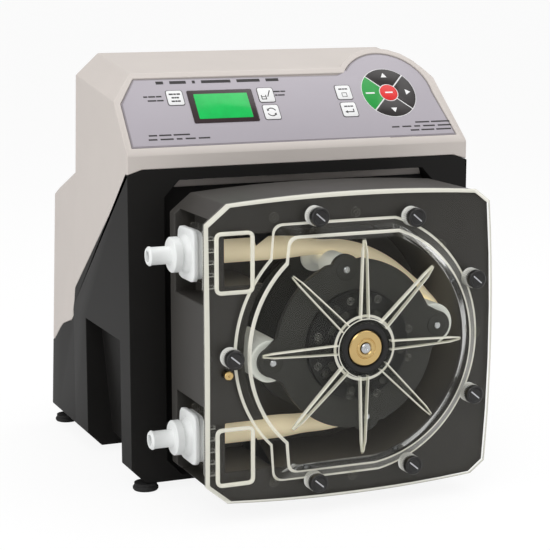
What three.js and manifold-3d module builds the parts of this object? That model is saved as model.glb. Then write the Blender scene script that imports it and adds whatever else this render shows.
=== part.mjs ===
// Peristaltic metering pump: a two-piece cast casing with a sloping control panel, and a pump
// head on its front, closed by a clear ribbed cover that seven thumb screws hold.
//
// Millimetres. X is to the right, Y goes back into the pump, Z is up. Inside this file the rotor
// axis is the line x = 0, z = 0, and the front of the clear cover's flange is y = 0. The whole
// pump is lifted and centred at the end, so that it stands on z = 0.

import * as THREE from 'three';
import { mergeVertices } from 'three/addons/utils/BufferGeometryUtils.js';
import Module from 'manifold-3d';

const wasm = await Module();
wasm.setup();

// ---------------------------------------------------------------- driving dimensions

const AXIS_HEIGHT = 138; // rotor axis above the table
const GAP = 0.3; // clearance between pieces that touch
const WALL = 4; // casing wall

const HALF_WIDTH = 157; // casing
const FRONT = 110.5; // casing's front face
const BOTTOM = -131; // casing's underside
const NOSE_TOP = 147; // top of the light band under the panel
const SEAM_FRONT = 131.5; // light casting meets black casting at the front corners
const SEAM_RISE = 4; // how much higher the seam runs between the corners
const BACK = 271; // back of the tall part of the casing
const REAR_END = 370; // back of the low motor housing
const REAR_HALF_WIDTH = 157;

const PANEL_LEAN = THREE.MathUtils.degToRad(40); // panel's tilt back from upright
const PANEL_FOOT = { y: 111, z: 149 }; // where the panel plane starts
const PANEL_LENGTH = 81; // along the slope, to the roof
const ROOF_RISE = Math.tan(THREE.MathUtils.degToRad(8)); // roof climbs to the back
const PAD = { x: 97, v: 52.8, r: 26 }; // round key pad on the panel
const BUMP_RADIUS = 49; // raised corner of the casing around the pad
const PANEL_MARGIN = 6; // casing rim around the membrane
const RECESS_DEPTH = 2;

const HEAD_BACK = 84; // pump head's back face
const FLANGE = 5; // clear cover's flange thickness
const TRACK_RADIUS = 97; // wall that the tube is squeezed against
const TRACK_BACK = 78;
const DOME = { foot: 105.5, brow: 97.5, browY: -5, hubR: 24.5, hubY: -14.2, wall: 3.5 };
const RIBS = { count: 8, end: 87.5, half: 2, frontY: -13.2 };

const TUBE_Z = 75; // tube ports above and below the rotor axis
const TUBE_Y = 50;
const TUBE_RADIUS = 9.5;
const TUBE_WALL = 3.2;
const PORT_X = -120; // inner face of the white fittings' flanges

const ROTOR = { disc: 69.5, frontY: 4, plate: 5.5, backY: 75.5, capR: 45, hubR: 26 };
const SQUEEZE = { pinR: 73.6, lobeR: 12, rollerR: 17.2, firstDeg: 7.3 };
const GUIDE = { pinR: 62, lobeR: 12.5, flangeR: 11.5, coreR: 4.7, firstDeg: 98.7 };
const SHAFT_RADIUS = 8;
const PIN_RADIUS = 2.6;

// outline of the pump head and its cover; crown and cheek say how far the sides bow
const HEAD = { left: -131, right: 119.5, leftZ: 105, rightZ: 110.6, crown: 125, cheek: 4.5 };
const HEAD_CHAMFER = { leftX: -112.6, leftZ: 120, rightX: 106.5, rightZ: 120.6 };

const THUMB_SCREWS = [
  [-39.7, 107.7],
  [45, 102.5],
  [100.8, 48.4],
  [100.8, -48.4],
  [45, -102.5],
  [-39.7, -107.7],
  [-111.4, 0],
];
const FOOT_X = 143.5;
const FOOT_Y = [118, 359];
const FOOT_RADIUS = 11;

// ---------------------------------------------------------------- materials

const finish = (color, roughness, metalness = 0, opacity = 1) =>
  new THREE.MeshStandardMaterial({ color, roughness, metalness, opacity, transparent: opacity < 1 });

const LIGHT_PAINT = finish(0xcdc5c0, 0.55);
const BLACK_PAINT = finish(0x2a2725, 0.6);
const HEAD_GREY = finish(0x4b4844, 0.5);
const MEMBRANE = finish(0xb2adb4, 0.45);
const KEY_WHITE = finish(0xf0f0f0, 0.4);
const KEY_BLACK = finish(0x181413, 0.4);
const KEY_GREEN = finish(0x14a03c, 0.4);
const KEY_RED = finish(0xe61e1e, 0.4);
const SCREEN_GREEN = finish(0x00b050, 0.3);
const BEZEL = finish(0x2d191e, 0.4);
const CLEAR = finish(0xf4f6f2, 0.08, 0, 0.3);
const BRASS = finish(0xd7aa5f, 0.3, 1);
const STEEL = finish(0xb8bac0, 0.25, 1);
const RUBBER = finish(0x161616, 0.85);
const TUBE_TAN = finish(0xd7be96, 0.5);
const WHITE_PLASTIC = finish(0xf0f3f0, 0.4);
const ROLLER_WHITE = finish(0xdfe3dc, 0.4);
const ROTOR_GREY = finish(0x4a4a48, 0.45);
const BOARD_GREEN = finish(0x1d5a34, 0.6);
const MOTOR_GREY = finish(0x5a5d60, 0.45, 0.6);

// ---------------------------------------------------------------- solids

const AXIS = {
  x: new THREE.Vector3(1, 0, 0),
  y: new THREE.Vector3(0, 1, 0),
  z: new THREE.Vector3(0, 0, 1),
};
const FAR = 900; // larger than the pump, for cutters

// closed three.js geometry to a solid that can be cut and joined
function solid(geometry) {
  const bare = geometry.clone();
  for (const name of Object.keys(bare.attributes)) {
    if (name !== 'position') bare.deleteAttribute(name);
  }
  const merged = mergeVertices(bare, 1e-3);
  const index = merged.index.array;
  const kept = [];
  for (let i = 0; i < index.length; i += 3) {
    const [a, b, c] = [index[i], index[i + 1], index[i + 2]];
    if (a !== b && b !== c && c !== a) kept.push(a, b, c);
  }
  return new wasm.Manifold(
    new wasm.Mesh({
      numProp: 3,
      vertProperties: Float32Array.from(merged.attributes.position.array),
      triVerts: Uint32Array.from(kept),
    }),
  );
}

// solid back to a three.js geometry
function geometryOf(body) {
  const mesh = body.getMesh();
  const geometry = new THREE.BufferGeometry();
  geometry.setAttribute('position', new THREE.BufferAttribute(mesh.vertProperties, 3));
  geometry.setIndex(new THREE.BufferAttribute(mesh.triVerts, 1));
  return geometry;
}

const cut = (body, ...tools) => tools.reduce((kept, tool) => kept.subtract(tool), body);
const join = (body, ...others) => others.reduce((whole, other) => whole.add(other), body);

// box between two corners
function box(x0, x1, y0, y1, z0, z1) {
  const geometry = new THREE.BoxGeometry(x1 - x0, y1 - y0, z1 - z0);
  return solid(geometry.translate((x0 + x1) / 2, (y0 + y1) / 2, (z0 + z1) / 2));
}

function shapeOf(outline) {
  if (outline instanceof THREE.Shape) return outline;
  return new THREE.Shape(outline.map(([u, v]) => new THREE.Vector2(u, v)));
}

// flat outline pushed along one axis; the basis says which way its u, v and depth run
function extrude(outline, depth, basis, curveSegments = 12) {
  const options = { depth, bevelEnabled: false, curveSegments };
  return solid(new THREE.ExtrudeGeometry(shapeOf(outline), options).applyMatrix4(basis));
}

// outline in (y, z), from x0 to x1
const slabX = (outline, x0, x1, segments) =>
  extrude(
    outline,
    x1 - x0,
    new THREE.Matrix4().makeBasis(AXIS.y, AXIS.z, AXIS.x).setPosition(x0, 0, 0),
    segments,
  );

// outline in (x, z), from y0 to y1
const slabY = (outline, y0, y1, segments) =>
  extrude(
    outline,
    y1 - y0,
    new THREE.Matrix4().makeBasis(AXIS.x, AXIS.z, AXIS.y.clone().negate()).setPosition(0, y1, 0),
    segments,
  );

// outline in (x, y), from z0 to z1
const slabZ = (outline, z0, z1, segments) =>
  extrude(outline, z1 - z0, new THREE.Matrix4().setPosition(0, 0, z0), segments);

// [radius, distance along the axis] profile turned into a solid of revolution about Y
function revolve(profile, segments) {
  const points = profile.map(([r, along]) => new THREE.Vector2(r, along));
  if (THREE.ShapeUtils.isClockWise(points)) points.reverse();
  return new THREE.LatheGeometry(points, segments);
}

// turned about the Y axis, standing at (x, z)
const turnedY = (profile, segments = 24, x = 0, z = 0) =>
  solid(revolve(profile, segments).translate(x, 0, z));

// plain cylinder along Y
const rodY = (r, y0, y1, segments = 24, x = 0, z = 0) =>
  turnedY([[0, y0], [r, y0], [r, y1], [0, y1]], segments, x, z);

// plain ring along Y
const ringY = (r0, r1, y0, y1, segments = 24, x = 0, z = 0) =>
  turnedY([[r0, y0], [r1, y0], [r1, y1], [r0, y1], [r0, y0]], segments, x, z);

// turned about a line along X at (y, z)
const turnedX = (profile, segments, y, z) =>
  solid(revolve(profile, segments).rotateZ(-Math.PI / 2).translate(0, y, z));

// turned about a vertical line at (x, y)
const turnedZ = (profile, segments, x, y) =>
  solid(revolve(profile, segments).rotateX(Math.PI / 2).translate(x, y, 0));

// everything on the far side of the plane through three points, moved inwards by inset;
// seen from that far side, the points run clockwise
function beyond([a, b, c], inset = 0) {
  const [p, q, r] = [a, b, c].map((point) => new THREE.Vector3(...point));
  const normal = r.clone().sub(p).cross(q.clone().sub(p)).normalize();
  const side = q.clone().sub(p).normalize();
  const basis = new THREE.Matrix4().makeBasis(side, normal.clone().cross(side), normal);
  basis.setPosition(p.addScaledVector(normal, FAR / 2 - inset));
  return solid(new THREE.BoxGeometry(FAR, FAR, FAR).applyMatrix4(basis));
}

// outline with each edge moved inwards; the corners run anticlockwise
function inset(outline, distance) {
  const count = outline.length;
  const edge = (i) => {
    const [p, q] = [outline[(i + count) % count], outline[(i + 1) % count]];
    const [du, dv] = [q[0] - p[0], q[1] - p[1]];
    const length = Math.hypot(du, dv);
    return { p: [p[0] - (dv / length) * distance, p[1] + (du / length) * distance], d: [du, dv] };
  };
  return outline.map((_, i) => {
    const [a, b] = [edge(i - 1 + count), edge(i)];
    const cross = a.d[0] * b.d[1] - a.d[1] * b.d[0];
    const t = ((b.p[0] - a.p[0]) * b.d[1] - (b.p[1] - a.p[1]) * b.d[0]) / cross;
    return [a.p[0] + a.d[0] * t, a.p[1] + a.d[1] * t];
  });
}

// rectangle with round corners, as a shape centred at (u, v)
function roundedRect(width, height, radius, u = 0, v = 0) {
  const [a, b] = [width / 2 - radius, height / 2 - radius];
  const shape = new THREE.Shape();
  shape.absarc(u + a, v + b, radius, 0, Math.PI / 2);
  shape.absarc(u - a, v + b, radius, Math.PI / 2, Math.PI);
  shape.absarc(u - a, v - b, radius, Math.PI, Math.PI * 1.5);
  shape.absarc(u + a, v - b, radius, Math.PI * 1.5, Math.PI * 2);
  shape.closePath();
  return shape;
}

const pump = new THREE.Group();

function add(name, body, material) {
  const mesh = new THREE.Mesh(geometryOf(body), material);
  mesh.name = name;
  pump.add(mesh);
}

// ---------------------------------------------------------------- control panel's own frame

// u runs along X, v up the slope and n out of the panel; n = 0 is the casing's face there
const slope = new THREE.Vector3(0, Math.sin(PANEL_LEAN), Math.cos(PANEL_LEAN));
const outward = new THREE.Vector3(0, -Math.cos(PANEL_LEAN), Math.sin(PANEL_LEAN));
const panelPoint = (u, v) => [u, PANEL_FOOT.y + v * slope.y, PANEL_FOOT.z + v * slope.z];

// outline in (u, v) on the panel, from depth n0 to n1
function onPanel(outline, n0, n1, segments) {
  const start = new THREE.Vector3(...panelPoint(0, 0)).addScaledVector(outward, n0);
  const basis = new THREE.Matrix4().makeBasis(AXIS.x, slope, outward).setPosition(start);
  return extrude(outline, n1 - n0, basis, segments);
}

function circle(radius, u = 0, v = 0) {
  const shape = new THREE.Shape();
  shape.absarc(u, v, radius, 0, Math.PI * 2);
  return shape;
}

// ---------------------------------------------------------------- casing

const roofFront = panelPoint(0, PANEL_LENGTH);
const roofBack = [253, roofFront[2] + (253 - roofFront[1]) * ROOF_RISE];

// side views, (y, z), anticlockwise
const TALL_OUTLINE = [
  [FRONT, BOTTOM],
  [BACK + 7, BOTTOM],
  [BACK + 7, -10],
  [BACK, 10],
  roofBack,
  [roofFront[1], roofFront[2]],
  [FRONT + 0.5, PANEL_FOOT.z],
  [FRONT, NOSE_TOP],
];
const LOW_OUTLINE = [
  [200, BOTTOM],
  [REAR_END, BOTTOM],
  [REAR_END - 4, 90],
  [BACK - 10, 129],
  [200, 129],
];

const mirrored = (points) => points.map(([x, y, z]) => [-x, y, z]).reverse();

// sloping shoulders of the roof, drawn in side, and the bevels along the underside
const SHOULDER = [[-156.8, 145, 189.5], [-156.8, 252.3, 204.7], [-137.6, 162.2, 210.2]];
const RIGHT_CHEEK = [[157, 0, 147], [148.5, 0, 190], [157, 100, 147]];
const UNDERSIDE = [[-144, 0, BOTTOM], [-144, 100, BOTTOM], [-157, 0, -118]];
const TALL_PLANES = [SHOULDER, mirrored(SHOULDER), RIGHT_CHEEK, UNDERSIDE, mirrored(UNDERSIDE)];

const LOW_SIDE = [[-156, 300, -120], [-156, 400, -120], [-150, 300, 94]];
const LOW_TAPER = [[-156.5, 332, -120], [-153.5, 370, -120], [-150, 332, 94]];
const LOW_SHOULDER = [[-151, 300, 106], [-151, 340, 90.5], [-138, 300, 121]];
const LOW_PLANES = [LOW_SIDE, LOW_TAPER, LOW_SHOULDER, UNDERSIDE].flatMap((p) => [p, mirrored(p)]);

// the whole casing as one block, or its hollow when it is drawn in by the wall
function casing(t) {
  const tall = slabX(inset(TALL_OUTLINE, t), -HALF_WIDTH + t, HALF_WIDTH - t);
  const low = slabX(inset(LOW_OUTLINE, t), -REAR_HALF_WIDTH + t, REAR_HALF_WIDTH - t);
  const bump = onPanel(circle(BUMP_RADIUS - t, PAD.x, PAD.v), -75, -t, 12);
  return join(
    cut(tall, ...TALL_PLANES.map((plane) => beyond(plane, t))),
    cut(low, ...LOW_PLANES.map((plane) => beyond(plane, t))),
    cut(bump, box(-FAR, FAR, -FAR, FAR, -FAR, 60)),
  );
}

// side pocket between the legs: deeper towards the bottom
const POCKET = { y0: 138, y1: 238, top: -11.5 };
const pocketOutline = (grow) => [
  [-200, BOTTOM - 10],
  [-115, BOTTOM - 10],
  [-133 + grow, -119 + grow],
  [-142.5 + grow, POCKET.top + grow],
  [-200, POCKET.top + grow],
];
function pockets(grow) {
  const left = slabY(pocketOutline(grow), POCKET.y0 - grow, POCKET.y1 + grow);
  return left.add(left.mirror([1, 0, 0]));
}

// recess in the front that the pump head stands in
const RECESS = [
  [-125, -112],
  [-112, -126],
  [113, -126],
  [126, -112],
  [126, 112],
  [113, 126],
  [-112, 126],
  [-125, 112],
];
const RECESS_BACK = 128;
const recess = (grow) => slabY(inset(RECESS, -grow), FRONT - 20, RECESS_BACK + grow);

const footBosses = (grow) =>
  [-1, 1]
    .flatMap((side) => FOOT_Y.map((y) => [side * (FOOT_X - 1), y]))
    .map(([x, y]) => {
      const [radius, top] = [12.5 + grow, -112 + grow];
      return turnedZ([[0, BOTTOM], [radius, BOTTOM], [radius, top], [0, top]], 20, x, y);
    });

// black casting lies below the seam, the light one above it
const SEAM = [
  [-FAR, -FAR],
  [FAR, -FAR],
  [FAR, -78],
  [363, -57],
  [326, -34],
  [297, -25],
  [BACK + 4, -5],
  [BACK, 10.5],
  [FRONT, SEAM_FRONT],
  [-FAR, SEAM_FRONT],
];
const SEAM_BROW = [
  [-HALF_WIDTH, SEAM_FRONT - 1],
  [HALF_WIDTH, SEAM_FRONT - 1],
  [HALF_WIDTH, SEAM_FRONT],
  [144, SEAM_FRONT + SEAM_RISE],
  [-144, SEAM_FRONT + SEAM_RISE],
  [-HALF_WIDTH, SEAM_FRONT],
];
const belowSeam = (grow) =>
  join(
    slabX(inset(SEAM, -grow), -FAR, FAR),
    slabY(inset(SEAM_BROW, -grow), FRONT - 20, FRONT + WALL + 3),
  );

const outer = casing(0);
const hollow = cut(casing(WALL), pockets(WALL), recess(WALL), ...footBosses(WALL));
const shell = join(
  cut(outer, pockets(0), hollow),
  ...footBosses(0).map((boss) => cut(boss.intersect(outer), hollow)),
);

const FLOOR_OPENING = { x: 100, y0: 150, y1: 340 };
const REAR_OPENING = { x: 92, z0: -98, z1: -66 };
const lowerHousing = cut(
  shell.intersect(belowSeam(0)),
  recess(0),
  rodY(44, RECESS_BACK - 5, RECESS_BACK + 10, 24),
  box(-FLOOR_OPENING.x, FLOOR_OPENING.x, FLOOR_OPENING.y0, FLOOR_OPENING.y1, BOTTOM - 5, BOTTOM + WALL + 2),
  box(-REAR_OPENING.x, REAR_OPENING.x, REAR_END - 12, REAR_END + 5, REAR_OPENING.z0, REAR_OPENING.z1),
);
add('lower_housing', lowerHousing, BLACK_PAINT);

// membrane's outline, and the recess that it lies in, on the panel
function membraneOutline(margin) {
  const radius = BUMP_RADIUS - margin;
  const top = PANEL_LENGTH - margin;
  const meet = Math.PI - Math.asin((top - PAD.v) / radius);
  const shape = new THREE.Shape();
  shape.moveTo(-156.8 + margin, margin);
  shape.lineTo(155 - margin, margin);
  shape.lineTo(PAD.x + radius, PAD.v);
  shape.absarc(PAD.x, PAD.v, radius, 0, meet);
  shape.lineTo(-137.6 + margin * 0.45, top);
  shape.lineTo(-156.8 + margin, 53 - margin * 0.45);
  shape.closePath();
  return shape;
}

const SCREEN = { u: -61.5, v: 44.7, width: 59, height: 33.5, glassW: 49, glassH: 25 };
const SQUARE_KEYS = [
  { name: 'key_mode', u: -102.3, v: 54.6 },
  { name: 'key_calibrate', u: -19.8, v: 54.6 },
  { name: 'key_direction', u: -19.2, v: 36.6 },
  { name: 'key_menu', u: 53.6, v: 54.6 },
  { name: 'key_enter', u: 53.9, v: 36.4 },
];
const KEY_SIZE = 15.4;

const upperHousing = cut(
  cut(shell, belowSeam(GAP)),
  onPanel(membraneOutline(PANEL_MARGIN - GAP), -RECESS_DEPTH, 30, 10),
  onPanel(roundedRect(186, 44, 4, -24, 45.6), -20, 10, 3),
  onPanel(circle(PAD.r + 1, PAD.x, PAD.v), -20, 10, 10),
);
add('upper_housing', upperHousing, LIGHT_PAINT);

// ---------------------------------------------------------------- panel pieces

const MEMBRANE_TOP = -0.5;
const KEY_HOLE = KEY_SIZE + 2 * GAP;
const keyHole = (key) => onPanel(roundedRect(KEY_HOLE, KEY_HOLE, 2.3, key.u, key.v), -5, 5, 2);
const membrane = cut(
  onPanel(membraneOutline(PANEL_MARGIN), -RECESS_DEPTH + GAP, MEMBRANE_TOP, 10),
  ...SQUARE_KEYS.map(keyHole),
  onPanel(roundedRect(SCREEN.width + 2 * GAP, SCREEN.height + 2 * GAP, 0.8, SCREEN.u, SCREEN.v), -5, 5, 2),
  onPanel(circle(PAD.r + GAP, PAD.x, PAD.v), -5, 5, 12),
);
add('panel_membrane', membrane, MEMBRANE);

const glassHole = (grow) =>
  roundedRect(SCREEN.glassW + 2 * grow, SCREEN.glassH + 2 * grow, 0.8, SCREEN.u, SCREEN.v);
add(
  'display_bezel',
  cut(
    onPanel(roundedRect(SCREEN.width, SCREEN.height, 0.8, SCREEN.u, SCREEN.v), -1.7, -0.1, 2),
    onPanel(glassHole(GAP), -5, 5, 2),
  ),
  BEZEL,
);
add('display_glass', onPanel(glassHole(0), -1.7, -0.5, 2), SCREEN_GREEN);

for (const key of SQUARE_KEYS) {
  add(key.name, onPanel(roundedRect(KEY_SIZE, KEY_SIZE, 2, key.u, key.v), -4.5, 0.1, 2), KEY_WHITE);
}

// quarter of the round pad, centred on an angle
function padQuarter(middleDeg) {
  const [r0, r1] = [8.4, PAD.r - 0.4];
  const middle = THREE.MathUtils.degToRad(middleDeg);
  const half = (r) => Math.PI / 4 - 0.35 / r;
  const shape = new THREE.Shape();
  shape.absarc(PAD.x, PAD.v, r1, middle - half(r1), middle + half(r1));
  shape.absarc(PAD.x, PAD.v, r0, middle + half(r0), middle - half(r0), true);
  shape.closePath();
  return onPanel(shape, -4.5, 0.1, 5);
}
const PAD_QUARTERS = [
  { name: 'key_right', deg: 0, material: KEY_BLACK },
  { name: 'key_up', deg: 90, material: KEY_BLACK },
  { name: 'key_start', deg: 180, material: KEY_GREEN },
  { name: 'key_down', deg: 270, material: KEY_BLACK },
];
for (const { name, deg, material } of PAD_QUARTERS) add(name, padQuarter(deg), material);
add('key_stop', onPanel(circle(8, PAD.x, PAD.v), -4.5, 0.1, 8), KEY_RED);

add('control_board', onPanel(roundedRect(226, 58, 3, 9, 46), -9, -7.4, 2), BOARD_GREEN);

// ---------------------------------------------------------------- base, feet and drive

add('base_plate', box(-112, 112, 140, 350, BOTTOM + WALL + GAP, BOTTOM + WALL + GAP + 2), STEEL);

const rubberFoot = (x, y) =>
  turnedZ(
    [
      [0, -AXIS_HEIGHT],
      [9.5, -AXIS_HEIGHT],
      [FOOT_RADIUS, -136.5],
      [FOOT_RADIUS, -134.4],
      [9.8, -133.6],
      [9.8, BOTTOM - GAP],
      [0, BOTTOM - GAP],
    ],
    20,
    x,
    y,
  );
const FEET = {
  foot_front_left: [-1, 0],
  foot_front_right: [1, 0],
  foot_rear_left: [-1, 1],
  foot_rear_right: [1, 1],
};
for (const [name, [side, row]] of Object.entries(FEET)) {
  add(name, rubberFoot(side * (FOOT_X - 1), FOOT_Y[row]), RUBBER);
}

const ADAPTER = { plateY: 96, r: 58, bearingR: 19, bearingY0: 98, bearingY1: 112 };
const adapter = cut(
  join(
    slabY(roundedRect(176, 176, 14), HEAD_BACK + GAP, ADAPTER.plateY, 4),
    rodY(ADAPTER.r, HEAD_BACK + 5, RECESS_BACK - GAP, 24),
  ),
  rodY(SHAFT_RADIUS + 2, HEAD_BACK - 5, RECESS_BACK + 5, 24),
  rodY(ADAPTER.bearingR + GAP, ADAPTER.bearingY0, RECESS_BACK + 5, 28),
);
add('head_adapter', adapter, BLACK_PAINT);
const bearing = ringY(
  SHAFT_RADIUS + GAP,
  ADAPTER.bearingR,
  ADAPTER.bearingY0 + GAP,
  ADAPTER.bearingY1,
  28,
);
add('rear_bearing', bearing, STEEL);

const GEARBOX = { y0: 141, y1: 205, half: 48 };
const gearbox = cut(
  join(
    slabY(roundedRect(2 * GEARBOX.half, 2 * GEARBOX.half, 10), GEARBOX.y0, GEARBOX.y1, 3),
    rodY(30, RECESS_BACK + WALL + 4, GEARBOX.y0 + 5, 28),
  ),
  rodY(SHAFT_RADIUS + GAP, GEARBOX.y0 - 12, GEARBOX.y0 + 25, 24),
);
add('gearbox', gearbox, MOTOR_GREY);
add('drive_motor', join(rodY(44, GEARBOX.y1 + GAP, 318, 36), rodY(22, 315, 326, 24)), MOTOR_GREY);
add('power_board', box(-95, 95, 225, 227, 60, 150), BOARD_GREEN);

// ---------------------------------------------------------------- back connections

const connectorPlate = cut(
  box(
    -REAR_OPENING.x - 6,
    REAR_OPENING.x + 6,
    REAR_END - 8,
    REAR_END - 5.5,
    REAR_OPENING.z0 - 5,
    REAR_OPENING.z1 + 5,
  ),
  box(-78.3, -49.7, REAR_END - 12, REAR_END, -92.3, -71.7),
  rodY(7.3, REAR_END - 12, REAR_END, 16, 10, -82),
);
add('connector_plate', connectorPlate, BLACK_PAINT);
const inlet = cut(
  join(
    box(-78, -50, REAR_END - 30, REAR_END - 2.5, -92, -72),
    box(-81, -47, REAR_END - 5.2, REAR_END - 2.5, -95, -69),
  ),
  box(-75.5, -52.5, REAR_END - 20, REAR_END, -89.5, -74.5),
);
add('power_inlet', inlet, BLACK_PAINT);
const gland = turnedY(
  [[3.4, 352], [7, 352], [7, 364.8], [9.5, 364.8], [9.5, 368.5], [6, 371], [3.4, 371], [3.4, 352]],
  16,
  10,
  -82,
);
add('signal_gland', gland, BLACK_PAINT);

// ---------------------------------------------------------------- pump head

// front view of the head: bowed top, bottom and right side, chamfered corners
function headShape(drawnIn = 0) {
  const bow = (sign) => {
    const [xa, za] = [HEAD_CHAMFER.leftX, HEAD_CHAMFER.leftZ];
    const [xb, zb] = [HEAD_CHAMFER.rightX, HEAD_CHAMFER.rightZ];
    const steps = 8;
    return Array.from({ length: steps + 1 }, (_, i) => {
      const t = i / steps;
      const chord = za + (zb - za) * t;
      return [xa + (xb - xa) * t, sign * (chord + (HEAD.crown - (za + zb) / 2) * 4 * t * (1 - t))];
    });
  };
  const cheek = [0, 0.2, 0.4, 0.6, 0.8, 1].map((t) => [
    HEAD.right + HEAD.cheek * 4 * t * (1 - t),
    HEAD.rightZ * (2 * t - 1),
  ]);
  const outline = [
    [HEAD.left, HEAD.leftZ],
    [HEAD.left, -HEAD.leftZ],
    ...bow(-1),
    ...cheek,
    ...bow(1).reverse(),
  ];
  return inset(outline, drawnIn);
}

// a cutter and its mirror image in the rotor's level
const bothPorts = (body) => body.add(body.mirror([0, 0, 1]));

const screwHoles = (radius, y0, y1) => THUMB_SCREWS.map(([x, z]) => rodY(radius, y0, y1, 8, x, z));
const SIDE_SLOT = { z0: 41, z1: 108, depthX: -112, backY: 72 };
const headBody = cut(
  slabY(headShape(0.8), FLANGE + GAP, HEAD_BACK),
  rodY(TRACK_RADIUS, 0, TRACK_BACK, 40),
  bothPorts(box(-72, -10, 0, TRACK_BACK, 52, 96)),
  bothPorts(box(-113, -70, 0, 70, 55, 95)),
  bothPorts(box(-140, SIDE_SLOT.depthX, FLANGE + 3, SIDE_SLOT.backY, SIDE_SLOT.z0, SIDE_SLOT.z1)),
  rodY(SHAFT_RADIUS + 2, TRACK_BACK - 5, HEAD_BACK + 5, 24),
  ...screwHoles(3.3, 0, 24),
  rodY(3.3, 0, 12, 12, -112.5, -14.7),
);
add('head_body', headBody, HEAD_GREY);
add('leak_sensor_screw', join(rodY(2.6, -1.2, 10, 12, -112.5, -14.7), rodY(4, -3, -GAP, 12, -112.5, -14.7)), BRASS);

const polar = (deg, r) => {
  const angle = THREE.MathUtils.degToRad(deg);
  return [r * Math.cos(angle), r * Math.sin(angle)];
};

// tube route: [x, z, half thickness], half thickness being measured across the route; it runs
// over a guide roller, is nipped by a squeeze roller against the track, and comes back
const routeEnd = [
  [PORT_X + GAP, TUBE_Z, TUBE_RADIUS],
  [-72, TUBE_Z, TUBE_RADIUS],
  [-48, TUBE_Z, TUBE_RADIUS],
  [-29, 74.6, 8],
];
const upperBend = [
  [GUIDE.firstDeg, 73.9, 6],
  [84, 70.8, 7.6],
  [68, 68.6, 9.2],
  [52, 69.6, TUBE_RADIUS],
  [39, 73, 8.8],
];
const lowerBend = [
  [-39, 73, 8.8],
  [-52, 69.6, TUBE_RADIUS],
  [-66, 70, 8.6],
  [GUIDE.firstDeg - 180, 73.9, 6],
  [-95, 74.6, 7.8],
];
const routeNip = [
  [16, 83.1, 5.8],
  [12, 86.8, 4],
  [9, 89.7, 3.2],
  [6, 92.2, 2.8],
  [3, 93.6, 2.6],
];
const bend = ([deg, r, half]) => [...polar(deg, r), half];
const below = ([x, z, half]) => [x, -z, half];
const TUBE_ROUTE = [
  ...routeEnd,
  ...upperBend.map(bend),
  ...routeNip.map(([deg, r, half]) => bend([SQUEEZE.firstDeg + deg, r, half])),
  bend([SQUEEZE.firstDeg, 93.9, 2.6]),
  ...routeNip.map(([deg, r, half]) => bend([SQUEEZE.firstDeg - deg, r, half])).reverse(),
  ...lowerBend.map(bend),
  ...routeEnd.map(below).reverse(),
];

// hollow tube whose section keeps its girth while it flattens: rings of outer and inner points
function softTube(route, sides) {
  const path = route.map(([x, z]) => new THREE.Vector3(x, 0, z));
  const curve = new THREE.CatmullRomCurve3(path, false, 'centripetal');
  const rings = route.map(([x, z, half], i) => {
    const tangent = curve.getTangent(i / (route.length - 1));
    const across = new THREE.Vector3(-tangent.z, 0, tangent.x);
    const wide = TUBE_RADIUS + (TUBE_RADIUS - half) * 0.62;
    const ring = (a, b) =>
      Array.from({ length: sides }, (_, k) => {
        const angle = (k / sides) * Math.PI * 2;
        const out = across.clone().multiplyScalar(a * Math.cos(angle));
        return [x + out.x, TUBE_Y + b * Math.sin(angle), z + out.z];
      });
    return [ring(half, wide), ring(Math.max(half - TUBE_WALL, 0.35), wide - TUBE_WALL)];
  });
  const positions = rings.flat(3);
  const at = (row, skin, k) => (row * 2 + skin) * sides + (k % sides);
  const faces = [];
  const quad = (a, b, c, d) => faces.push(a, b, c, a, c, d);
  for (let k = 0; k < sides; k += 1) {
    for (let row = 0; row < rings.length - 1; row += 1) {
      quad(at(row, 0, k), at(row + 1, 0, k), at(row + 1, 0, k + 1), at(row, 0, k + 1));
      quad(at(row, 1, k), at(row, 1, k + 1), at(row + 1, 1, k + 1), at(row + 1, 1, k));
    }
    const last = rings.length - 1;
    quad(at(0, 0, k), at(0, 0, k + 1), at(0, 1, k + 1), at(0, 1, k));
    quad(at(last, 0, k), at(last, 1, k), at(last, 1, k + 1), at(last, 0, k + 1));
  }
  const geometry = new THREE.BufferGeometry();
  geometry.setAttribute('position', new THREE.Float32BufferAttribute(positions, 3));
  geometry.setIndex(faces);
  return solid(geometry);
}
add('pump_tube', softTube(TUBE_ROUTE, 10), TUBE_TAN);

// white hose fitting: barb, shoulder ring, cone and a keyed flange, bored through
function fitting(z) {
  const turned = turnedX(
    [
      [0, -161],
      [6.9, -161],
      [7.8, -159.5],
      [7.2, -157],
      [7.2, -141.6],
      [14, -141.6],
      [14, -135],
      [16.5, -127],
      [16.5, -122],
      [0, -122],
    ],
    16,
    TUBE_Y,
    z,
  );
  const flange = slabX(roundedRect(39, 43, 8, TUBE_Y, z), -127, PORT_X, 4);
  return cut(join(turned, flange), turnedX([[0, -170], [4.6, -170], [4.6, -110], [0, -110]], 12, TUBE_Y, z));
}
add('upper_fitting', fitting(TUBE_Z), WHITE_PLASTIC);
add('lower_fitting', fitting(-TUBE_Z), WHITE_PLASTIC);

// clear collar that grips the tube's end behind each fitting
function collar(z) {
  const [y0, y1] = [FLANGE + 4, 66];
  const radius = TUBE_RADIUS + GAP;
  const hole = turnedX([[0, -130], [radius, -130], [radius, -100], [0, -100]], 20, TUBE_Y, z);
  return cut(box(PORT_X + GAP, SIDE_SLOT.depthX - GAP, y0, y1, z - 23, z + 23), hole);
}
add('upper_collar', collar(TUBE_Z), CLEAR);
add('lower_collar', collar(-TUBE_Z), CLEAR);

// ---------------------------------------------------------------- rotor

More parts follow.
